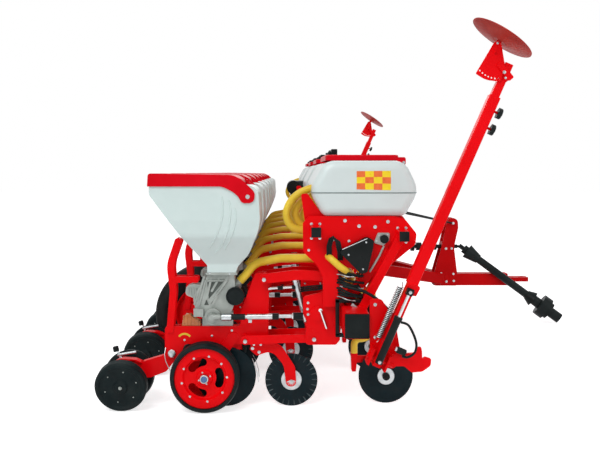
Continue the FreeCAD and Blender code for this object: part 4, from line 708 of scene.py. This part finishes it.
def row_trims(n):
    """Fasteners, adjusters, scrapers and small fittings of one row."""
    y = row_y[n]
    zinc = KIT.mesh(f"row_bolts_{n}", "frame", ZINC, "zinc_steel")
    black = KIT.mesh(f"row_black_{n}", "frame", BLACK, "black_paint")
    chrome = KIT.mesh(f"row_rods_{n}", "frame", CHROME, "zinc_steel")

    def spot(x, depth, z, size, side=-1):
        bolt(zinc, at(x, y + side * depth, z), (0, side, 0), size)

    for side in (-1, 1):
        for x, z in ((-0.514, 0.7615), (-0.112, 0.773), (-0.623, 0.405), (-0.224, 0.416)):
            spot(x, LINK_FACE, z, 0.0105, side)
        for x, z in ((-0.259, 0.627), (-0.153, 0.627), (-0.262, 0.591), (-0.259, 0.560)):
            spot(x, HEADSTOCK_FACE, z, 0.0072, side)
        for x, z in ((-0.823, 0.420), (-0.705, 0.452)):
            spot(x, ROW_FRAME_FACE, z, 0.0062, side)
        lathe(zinc, [(0.022, 0), (0.022, 0.006), (0.019, 0.008)],
              looking(at(-1.058, y + side * 0.0358, 0.319), (0, side, 0)), 24)
        bolt(zinc, at(-1.058, y + side * 0.0435, 0.319), (0, side, 0), 0.0078, False)
    for x, z in ((-0.583, 0.349), (-0.545, 0.327)):
        spot(x, 0.0388, z, 0.0088)
    for x in (-0.575, -0.535):
        spot(x, 0.0438, 0.372, 0.0062)

    tube(chrome, [at(-0.188, y - 0.116, 0.588), at(-0.152, y - 0.120, 0.484)], 0.0078, 14)
    cylinder(chrome, at(-0.188, y - LINK_FACE, 0.588), OUT, 0.011, 0.014)

    scale = KIT.mesh(f"depth_scale_{n}", "frame", YELLOW, "yellow_hose", 20)
    arc = [math.radians(38 + 8 * k) for k in range(14)]
    outline = [(0.047 * math.cos(t), 0.047 * math.sin(t)) for t in arc]
    outline += [(0.036 * math.cos(t), 0.036 * math.sin(t)) for t in reversed(arc)]
    prism(scale, outline, Matrix.Translation(at(-0.984, y - 0.0292, 0.3905)), 0.0014)
    spot(-0.984, ROW_FRAME_FACE, 0.396, 0.0062)

    wire = KIT.mesh(f"scraper_wires_{n}", "frame", ZINC, "zinc_steel")
    rear = ((-1.094, 0.030, 0.352), (-1.098, 0.052, 0.318), (-1.088, 0.066, 0.280), (-1.056, 0.070, 0.214))
    front = ((-0.585, 0.040, 0.290), (-0.569, 0.050, 0.254), (-0.552, 0.054, 0.200), (-0.548, 0.054, 0.156))
    for side in (-1, 1):
        tube(wire, strand(rear, y, side), 0.0024, 6)
        tube(wire, strand(front, y, side), 0.0020, 6)

    # air port's ring, ribs of meter and hopper, thin hoses, sleeves of the drive shaft and the seed tray
    ring = KIT.mesh(f"meter_rings_{n}", "frame", PLASTIC, "black_plastic")
    lathe(ring, [(0.0535, 0), (0.0535, 0.006), (0.048, 0.008), (0.044, 0.004), (0.044, 0)],
          looking(at(-0.684, y - 0.0640, 0.660), OUT), 36, True)
    ribs = KIT.mesh(f"meter_ribs_{n}", "frame", ALLOY, "cast_aluminium", 40)
    for path in METER_RIBS:
        tube(ribs, [p + Vector((0, y, 0)) for p in path], 0.0068, 8)
    # flat sheets of painted shade, laid just off the meter's face over its pockets
    shade_sheet = KIT.mesh(f"meter_shade_sheets_{n}", "frame", PAINTED_POCKET_SHADE, "cast_aluminium", 20)
    lathe(ribs, [(0.041, -0.004), (0.041, 0.005), (0.035, 0.005), (0.035, -0.004)],
          looking(METER_BOSS[0] + Vector((0, y, 0)), OUT), 32, True)
    for path in METER_SHADE_OUTLINES:
        shade_sheet.faces.new([shade_sheet.verts.new(p + Vector((0, y - 0.0012, 0))) for p in path])
    grooves = KIT.mesh(f"hopper_ribs_{n}", "frame", WHITE, "white_plastic", 50)
    for side in (-1, 1):
        for path in HOPPER_RIBS:
            tube(grooves, [Vector((p.x, y - side * p.y, p.z)) for p in path], 0.0042, 8)
    for k in range(3):
        rise = 0.011 * k
        line = ((-0.300, 0.060, 0.688 + rise), (-0.262, 0.099, 0.700 + rise), (-0.200, 0.101, 0.706 + rise),
                (-0.140, 0.101, 0.722 + 0.6 * rise), (-0.096, 0.092, 0.728 + 0.6 * rise))
        tube(black, smooth_path(strand(line, y)), 0.0052, 6)
    for x, z in ((-0.829, 0.798), (-0.714, 0.793)):
        spot(x, 0.0818, z, 0.0055)
    lane = y - DRIVE_LANE
    for x0, x1, z, radius, bm in ((-0.612, -0.465, 0.5473, 0.0165, zinc),
                                  (-0.465, -0.428, 0.5485, 0.0190, black),
                                  (-0.352, -0.340, 0.550, 0.0175, chrome)):
        length = x1 - x0
        lathe(bm, [(radius - 0.001, 0), (radius, 0.001), (radius, length - 0.001), (radius - 0.001, length)],
              looking(at(x0, lane, z), (1, 0, 0.0117)), 20)
    block(zinc, -0.604, -0.584, lane - 0.008, lane + 0.008, 0.514, 0.533)
    tray = KIT.mesh(f"seed_trays_{n}", "frame", AMBER, None)
    prism(tray, [(-1.002, 0.4775), (-0.890, 0.4775), (-0.892, 0.506), (-0.932, 0.520), (-0.948, 0.546),
                 (-0.978, 0.546), (-0.992, 0.528)],
          Matrix.Translation(at(0, y - 0.024, 0)), 0.046, 0.003)
    for k in range(5):
        block(tray, -0.993 + 0.021 * k, -0.987 + 0.021 * k, y - 0.0275, y - 0.022, 0.482,
              0.520 if k > 2 else 0.540, 0.0008)

    # slim damper between the links with its black sleeve, and the collars of the spring tubes
    tube(chrome, [at(-0.490, y - 0.040, 0.700), at(-0.352, y - 0.040, 0.709)], 0.0075, 12)
    tube(black, [at(-0.436, y - 0.040, 0.7035), at(-0.404, y - 0.040, 0.7056)], 0.0125, 14)
    cylinder(black, at(-0.352, y - 0.040, 0.709), (1, 0, 0.06), 0.013, 0.020)
    for x, z, radius in ((-0.262, 0.522, 0.019), (-0.336, 0.752, 0.0185)):
        lathe(black, [(radius, 0), (radius, 0.014)], looking(at(x, y - 0.036, z), (-0.26, 0, 0.965)), 20)

    # clamp band round the toolbar
    for x0, x1, z0, z1 in ((-0.103, -0.081, 0.449, 0.655), (0.081, 0.101, 0.449, 0.655),
                           (-0.103, 0.101, 0.637, 0.657), (-0.103, 0.101, 0.441, 0.461)):
        block(black, x0, x1, y - 0.150, y - 0.122, z0, z1, 0.002)
    # knob and rods over the closing wheels
    cap = KIT.mesh(f"row_knobs_{n}", "frame", PLASTIC, "black_plastic")
    cylinder(cap, at(-1.392, y, 0.322), (-0.25, 0, 1), 0.017, 0.030, 16, 0.004)
    tube(zinc, [at(-1.360, y, 0.270), at(-1.385, y, 0.325)], 0.006, 10)
    tube(zinc, [at(-1.385, y, 0.300), at(-1.275, y, 0.318)], 0.008, 10)


for n in ROWS:
    row_trims(n)


# ---------------------------------------------------------------- ends of the machine
def end_cap(bm, x, z, side, places, cap, plug, bevel):
    """A square cap on a tube's end and the plug behind it, by half their widths."""
    start, end, face = places
    for half, y0, y1, ease in ((cap, end, face, bevel), (plug, start, end, bevel / 2)):
        near, far = sorted((side * y0, side * y1))
        block(bm, x - half, x + half, near, far, z - half, z + half, ease)


def end_trims(side):
    """Fasteners and tube caps of one end; side is -1 on the machine's right."""
    name = "right" if side < 0 else "left"
    out = Vector((0, side, 0))
    zinc = KIT.mesh(f"end_bolts_{name}", "frame", ZINC, "zinc_steel")
    black = KIT.mesh(f"end_caps_{name}", "frame", PLASTIC, "black_plastic")
    for size, places in (
            (0.0098, ((-0.047, 1.105), (0.034, 1.074), (0.126, 1.069), (0.200, 1.099))),
            (0.0075, ((-0.256, 0.935), (-0.024, 0.988), (-0.052, 0.774))),
            (0.0080, ((0.256, 1.063), (0.304, 1.063), (0.256, 0.981), (0.304, 0.981),
                      (-0.240, 1.086), (-0.192, 1.086), (-0.240, 1.004), (-0.192, 1.004)))):
        for x, z in places:
            bolt(zinc, at(x, side * END_Y, z), out, size)
    for x, z in ((0.280, 1.022), (-0.216, 1.045)):
        end_cap(black, x, z, side, BEAM_END_Y, 0.0275, 0.0235, 0.002)
    end_cap(black, 0.0, 0.549, side, TOOLBAR_END_Y, 0.067, 0.060, 0.004)
    for x, z in ((0.087, 0.664), (0.087, 0.486), (0.150, 0.430)):
        bolt(zinc, at(x + 0.012, side * 2.790, z), out, 0.0090)


for side in (-1, 1):
    end_trims(side)


def drive_side_trims():
    """Bolts, hoses and cable of the right end plate, and the fan's hose loops near both ends."""
    y = -END_Y
    zinc = KIT.mesh("drive_bolts", "frame", ZINC, "zinc_steel")
    hose = KIT.mesh("end_hoses", "frame", PLASTIC, "black_plastic", 40)
    for x, z in ((0.134, 0.990), (0.196, 1.024), (0.150, 1.020)):
        bolt(zinc, at(x, y - 0.0118, z), OUT, 0.0055)
    tube(zinc, [at(-0.066, y - 0.045, 0.944), at(0.076, y - 0.045, 1.006)], 0.0022, 6)
    for x, z in ((-0.030, 0.914), (0.070, 0.985), (0.052, 0.832)):
        bolt(zinc, at(x, y - 0.0448, z), OUT, 0.0050)
    # loop of thin pipes in front of the round cut-out
    for k in range(3):
        dx = 0.010 * k
        line = ((-0.148 + dx, 0.004, 0.890 + dx), (-0.150 + dx, 0.026, 0.960), (-0.138 + dx, 0.032, 1.004),
                (-0.118 + dx, 0.032, 1.018 - dx), (-0.100 + dx, 0.028, 0.985), (-0.088 + dx, 0.022, 0.925),
                (-0.084 + dx, 0.004, 0.880))
        tube(hose, strand(line, y), 0.0056, 8)
    cylinder(zinc, at(-0.118, y + 0.001, 1.000), OUT, 0.013, 0.014)
    # bundle of black hoses and silver pipes between the last headstock and the end plate
    silver = KIT.mesh("end_pipes", "frame", ZINC, "zinc_steel", 40)
    for k in range(11):
        z, wave = 0.822 - 0.0160 * k, math.sin(2.4 * k)
        reach, drop = 0.040 + 0.022 * wave, 0.020 + 0.018 * math.cos(1.7 * k)
        line = ((-0.078, -0.160, z + 0.004), (-0.090 + 0.012 * wave, -0.030, z + 0.006),
                (-0.074, 0.018 + 0.006 * wave, z + 0.006), (-0.030, 0.034 - 0.008 * wave, z - 0.4 * drop),
                (reach - 0.014, 0.030, z - 0.8 * drop), (reach, -0.002, z - drop),
                (reach - 0.004, -0.120, z - drop))
        thin = k % 4 == 2
        tube(silver if thin else hose, smooth_path(strand(line, y)), 0.0040 if thin else 0.0072, 8)
    line = ((-0.060, 0.030, 0.735), (0.000, 0.062, 0.724), (0.080, 0.090, 0.700), (0.150, 0.170, 0.654),
            (0.196, 0.235, 0.600), (0.214, 0.258, 0.560))
    tube(hose, smooth_path(strand(line, y)), 0.0090, 10)
    line = ((0.120, 0.140, 0.628), (0.180, 0.210, 0.612), (0.222, 0.250, 0.582))
    tube(hose, smooth_path(strand(line, y)), 0.0080, 10)
    cylinder(zinc, at(0.108, y - 0.130, 0.632), (0.8, -0.5, -0.2), 0.012, 0.026)
    elbow = KIT.mesh("end_elbow", "frame", YELLOW, "yellow_hose", 40)
    line = ((-0.146, -0.012, 0.900), (-0.124, 0.026, 0.884), (-0.080, 0.036, 0.846), (-0.044, 0.024, 0.820),
            (-0.028, -0.006, 0.806))
    tube(elbow, smooth_path(strand(line, y)), 0.0200, 14)
    loops = KIT.mesh("fan_hoses", "frame", YELLOW, "yellow_hose", 40)
    for k in range(3):
        inset = 0.052 * k
        for mirror in (-1, 1):
            line = [(-0.100, 1.272 - inset), (-0.215, 1.290 - inset),
                    (-0.330 + 0.7 * inset, 1.240 - 0.7 * inset),
                    (-0.384 + inset, 1.145 - 0.2 * inset), (-0.358 + inset, 1.062 + 0.2 * inset),
                    (-0.286 + 0.4 * inset, 1.034 + 0.3 * inset), (-0.216, 1.045)]
            tube(loops, smooth_path([at(x, mirror * (2.395 - 0.046 * k), z) for x, z in line]), 0.0240, 12)
    # inclined tie above the toolbar's end
    tie = KIT.mesh("end_tie", "frame", ZINC, "zinc_steel")
    bar_between(tie, at(-0.014, y - 0.060, 0.636), at(0.034, y - 0.060, 0.592), 0.018, 0.008)
    # cable that runs down from the drive flange
    cable = KIT.mesh("drive_cable", "frame", ALLOY, "cast_aluminium")
    line = ((0.176, 0.006, 0.960), (0.150, 0.010, 0.905), (0.120, 0.012, 0.855), (0.094, 0.010, 0.812))
    tube(cable, strand(line, y), 0.0062, 8)


def bar_between(bm, start, end, width, depth):
    """A flat bar from start to end; width lies in the XZ plane, depth along Y."""
    run = (end - start).normalized()
    across_run = Vector((-run.z, 0, run.x)) * (width / 2)
    corners = [start - across_run, end - across_run, end + across_run, start + across_run]
    place = Matrix.Translation((0, start.y - depth / 2, 0))
    prism(bm, [(c.x, c.z) for c in corners], place, depth, 0.0008)


drive_side_trims()


# ---------------------------------------------------------------- markers
def marker_trims(side):
    """Spring, hoses, fasteners and knobs of one marker arm."""
    name = "right" if side < 0 else "left"
    body = f"marker_arm_{name}"
    y = side * MARKER_Y
    out = Vector((0, side, 0))
    coil = KIT.mesh(f"marker_spring_{name}", body, ZINC, "zinc_steel", 40)
    spring(coil, on_marker(0.080, -0.047, y + side * 0.012), on_marker(0.430, -0.052, y + side * 0.012),
           0.0160, 0.0023, 31)
    core = KIT.mesh(f"marker_core_{name}", body, BLACK, "black_paint", 40)
    tube(core, [on_marker(0.108, -0.0475, y + side * 0.012), on_marker(0.400, -0.0515, y + side * 0.012)],
         0.0122, 12)
    zinc = KIT.mesh(f"marker_bolts_{name}", body, ZINC, "zinc_steel")
    bolt(zinc, on_marker(1.7945, -0.105, y + side * 0.0308), out, 0.0070)
    bolt(zinc, on_marker(1.665, -0.012, y + side * 0.0385), out, 0.0085)
    bolt(zinc, on_marker(1.640, 0.006, y + side * 0.0385), out, 0.0060)
    for along in (0.0, 0.400):
        bolt(zinc, on_marker(along, -0.004, y + side * 0.0745), out, 0.0085)
    knob = KIT.mesh(f"marker_knobs_{name}", body, PLASTIC, "black_plastic")
    forward = on_marker(0.0, 1.0, 0) - on_marker(0.0, 0.0, 0)
    for along in (1.365, 1.460):
        for k in range(5):
            t = 2 * math.pi * k / 5
            centre = on_marker(along + 0.0225 * math.cos(t), 0.0495, y + 0.0225 * math.sin(t))
            cylinder(knob, centre, forward, 0.0085, 0.023, 12, 0.002)
        cylinder(knob, on_marker(along, 0.0715, y), forward, 0.012, 0.006, 14, 0.002)
    hose = KIT.mesh(f"marker_hose_{name}", body, PLASTIC, "black_plastic", 40)
    line = ((0.236, 0.016, 0.060), (0.236, 0.062, 0.066), (0.175, 0.130, 0.060), (0.120, 0.150, 0.050),
            (0.080, 0.130, 0.040), (0.070, 0.100, 0.034))
    line = [on_marker(along, ahead, y + side * off) for along, ahead, off in line]
    tube(hose, smooth_path(line), 0.0068, 8)
    cylinder(hose, on_marker(0.092, 0.062, y + side * 0.032), forward, 0.018, 0.050, 16, 0.003)
    cylinder(zinc, on_marker(0.092, 0.052, y + side * 0.032), forward, 0.011, 0.012, 14)


for side in (-1, 1):
    marker_trims(side)


# ---------------------------------------------------------------- tanks, drawbar and transport wheels
def outer_loops(name, height, count):
    """The largest closed lines in which a level plane cuts a CAD node."""
    cut = bmesh.new()
    cut.from_mesh(nodes[name].data)
    bmesh.ops.remove_doubles(cut, verts=list(cut.verts), dist=1e-5)
    whole = list(cut.verts) + list(cut.edges) + list(cut.faces)
    made = bmesh.ops.bisect_plane(cut, geom=whole, plane_co=(0, 0, height), plane_no=(0, 0, 1), dist=1e-6)
    edges = [e for e in made["geom_cut"] if isinstance(e, bmesh.types.BMEdge)]
    near = {}
    for e in edges:
        for v in e.verts:
            near.setdefault(v, []).append(e.other_vert(v))
    loops, done = [], set()
    for first in near:
        if first in done:
            continue
        line, v = [], first
        while v is not None and v not in done:
            done.add(v)
            line.append(v.co.copy())
            v = next((w for w in near[v] if w not in done), None)
        loops.append(line)
    cut.free()

    def area(line):
        xs, ys = [p.x for p in line], [p.y for p in line]
        return (max(xs) - min(xs)) * (max(ys) - min(ys))

    picked = sorted(loops, key=area, reverse=True)[:count]
    return [[p for k, p in enumerate(line) if k == 0 or (p - line[k - 1]).length > 0.002] for line in picked]


def tank_trims():
    """Moulded seams, latches and hinge pins of the lids, and the end tanks' sticker."""
    seam = KIT.mesh("tank_seams", "frame", SEAM, "white_plastic", 40)
    for loop in outer_loops("fertiliser_tanks", 1.266, 4):
        tube(seam, loop + loop[:2], 0.0036, 6, False)
    pins = KIT.mesh("lid_pins", "frame", ZINC, "zinc_steel")
    for i in TANKS:
        lo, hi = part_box(f"fertiliser_lid_{i}")
        middle = (lo.y + hi.y) / 2
        for side in (-1, 1):
            cylinder(pins, at(0.316, middle + side * 0.3202, 1.442), (0, side, 0), 0.0085, 0.006, 16, 0.0015)
        latch = KIT.mesh(f"lid_latches_{i}", f"fertiliser_lid_{i}", PLASTIC, "black_plastic")
        rear = lo.x - BAR
        top = nodes[f"fertiliser_lid_{i}"].ray_cast(at(rear + 0.045, middle, 3.0), Vector((0, 0, -1)))[1].z
        for shift in (-0.13, 0.13):
            y = middle + shift
            block(latch, rear + 0.046, rear + 0.084, y - 0.024, y + 0.024, top - 0.004, top + 0.040, 0.005)
            block(latch, rear + 0.026, rear + 0.056, y - 0.016, y + 0.016, top - 0.004, top + 0.024, 0.004)
    for n in ROWS:
        for side in (-1, 1):
            centre = at(-0.603, row_y[n] + side * 0.1992, 1.245)
            cylinder(pins, centre, (0, side, 0), 0.0125, 0.006, 20, 0.002)
    tanks_lo, tanks_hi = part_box("fertiliser_tanks")
    decal = bmesh.new()
    uv = decal.loops.layers.uv.new("UVMap")
    for side, y in ((-1, tanks_lo.y - 0.0008), (1, tanks_hi.y + 0.0008)):
        corners = [(0.017, 1.286), (0.213, 1.2805), (0.213, 1.392), (0.017, 1.390)]
        verts = [decal.verts.new(at(x, y, z)) for x, z in corners]
        face = decal.faces.new(verts if side < 0 else list(reversed(verts)))
        spots = [(1, 0), (5, 0), (5, 3), (1, 3)]
        for loop, spot in zip(face.loops, spots if side < 0 else list(reversed(spots))):
            loop[uv].uv = spot
    mesh = bpy.data.meshes.new("tank_sticker")
    decal.to_mesh(mesh)
    decal.free()
    piece("tank_sticker", mesh, "frame", STICKER)


tank_trims()


def drawbar_trims():
    """Bolts of the tower and the tongue."""
    zinc = KIT.mesh("drawbar_bolts", "frame", ZINC, "zinc_steel")
    for side in (-1, 1):
        out = Vector((0, side, 0))
        for x, z in ((1.110, 0.665), (1.163, 0.667), (1.063, 0.431), (1.179, 0.428), (1.046, 0.374),
                     (1.114, 0.356), (1.183, 0.362)):
            bolt(zinc, at(x, side * 0.0638, z), out, 0.0105)
        bolt(zinc, at(1.174, side * 0.0798, 0.905), out, 0.0115)
        for x in (1.665, 1.720):
            bolt(zinc, at(x, side * (0.0558 if x < 1.69 else 0.0498), 0.373), out, 0.0090)


drawbar_trims()


def transport_trims():
    """Chevron lugs on the transport tyres and their wheel nuts."""
    lugs = KIT.mesh("transport_lugs", "transport_wheels", TYRE_RUBBER, "tyre_rubber", 30)
    nuts = KIT.mesh("transport_nuts", "transport_wheels", ZINC, "zinc_steel")
    for side in (-1, 1):
        y = side * (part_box("transport_wheels")[1].y - 0.120)
        for k in range(LUGS):
            turn = Matrix.Rotation(2 * math.pi * (k + (0.5 if k % 2 else 0)) / LUGS, 4, "Y")
            half = 1 if k % 2 else -1
            slant = Matrix.Rotation(half * 0.62, 4, "X")
            place = Matrix.Translation(beside(TYRE, y + half * 0.047)) @ turn @ slant
            ridge = [(0.3340, -0.009), (0.3478, -0.007), (0.3478, 0.007), (0.3340, 0.009)]
            prism(lugs, ridge, place @ Matrix.Translation((0, -0.040, 0)), 0.080)
        for k in range(6):
            bolt(nuts, beside(TYRE, y + side * 0.0838, 0.045, 60 * k), (0, side, 0), 0.0090)


transport_trims()
KIT.place()


# ---------------------------------------------------------------- stage, light and camera
FLOOR_GLOW = 0.66
ROOM_LIGHT = 0.49
LENS = 41.28  # mm, on a picture 36 mm wide
SHIFT = (0.02, -0.08833)  # of the frame, as shares of its width
CAMERA = Vector((GAUGE.x + 0.480, -6.53, 1.385))
LAMP_TARGET = Vector((0, 0, 0.7))


def looked_at(tree):
    """1 for the rays that show a surface to the camera, straight or by a reflection; 0 for the others."""
    path = tree.nodes.new("ShaderNodeLightPath").outputs
    seen = tree.math("MAXIMUM", path["Is Camera Ray"], path["Is Glossy Ray"])
    return tree.math("MAXIMUM", seen, path["Is Transmission Ray"])


def stage():
    """A white floor under a white room, both brighter to the eye than the light they give."""
    ground = cad_box[0][2]
    bm = bmesh.new()
    half = 40.0
    for x, y in ((-half, -half), (half, -half), (half, half), (-half, half)):
        bm.verts.new((x, y, ground - 0.0005))
    bm.faces.new(bm.verts)
    mesh = to_mesh("floor", bm)
    floor = bpy.data.objects.new("floor", mesh)
    bpy.context.scene.collection.objects.link(floor)
    tree = Tree(bpy.data.materials.new("floor_white"))
    glow = tree.nodes.new("ShaderNodeEmission")
    glow.inputs["Color"].default_value = rgb(1, 1, 1)
    tree.put(glow.inputs["Strength"], tree.math("MULTIPLY", looked_at(tree), FLOOR_GLOW))
    matt = tree.nodes.new("ShaderNodeBsdfDiffuse")
    matt.inputs["Color"].default_value = rgb(0.90, 0.90, 0.90)
    both = tree.nodes.new("ShaderNodeAddShader")
    tree.put(both.inputs[0], matt.outputs[0])
    tree.put(both.inputs[1], glow.outputs[0])
    tree.put(tree.nodes["Material Output"].inputs["Surface"], both.outputs[0])
    mesh.materials.append(tree.owner)

    world = bpy.data.worlds.new("room")
    bpy.context.scene.world = world
    tree = Tree(world)
    seen = tree.nodes.new("ShaderNodeBackground")
    seen.inputs["Color"].default_value = rgb(1, 1, 1)
    seen.inputs["Strength"].default_value = 1.0
    lit = tree.nodes["Background"]
    lit.inputs["Color"].default_value = rgb(0.95, 0.97, 1.0)
    lit.inputs["Strength"].default_value = ROOM_LIGHT
    blend = tree.nodes.new("ShaderNodeMixShader")
    for socket, value in zip(blend.inputs, (looked_at(tree), lit.outputs[0], seen.outputs[0])):
        tree.put(socket, value)
    tree.put(tree.nodes["World Output"].inputs["Surface"], blend.outputs[0])


def lamp(name, place, size, power):
    data = bpy.data.lights.new(name, "AREA")
    data.shape = "DISK"
    data.size = size
    data.energy = power
    thing = bpy.data.objects.new(name, data)
    bpy.context.scene.collection.objects.link(thing)
    thing.location = place
    thing.rotation_mode = "QUATERNION"
    thing.rotation_quaternion = (LAMP_TARGET - Vector(place)).to_track_quat("-Z", "Y")


def camera():
    """The photograph's one-point view: level, square to the side, with the frame shifted down."""
    data = bpy.data.cameras.new("camera")
    data.sensor_width = 36.0
    data.lens = LENS
    data.shift_x, data.shift_y = SHIFT
    data.clip_start, data.clip_end = 0.05, 200.0
    thing = bpy.data.objects.new("camera", data)
    bpy.context.scene.collection.objects.link(thing)
    thing.location = CAMERA
    thing.rotation_euler = (math.pi / 2, 0, 0)
    bpy.context.scene.camera = thing


stage()
lamp("key", (-3.5, -6.5, 6.5), 5.0, 275)
lamp("fill", (5.5, -6.0, 3.5), 5.0, 108)
lamp("back", (0.5, 7.5, 6.0), 6.0, 150)
camera()
bpy.context.scene.view_settings.view_transform = "Standard"
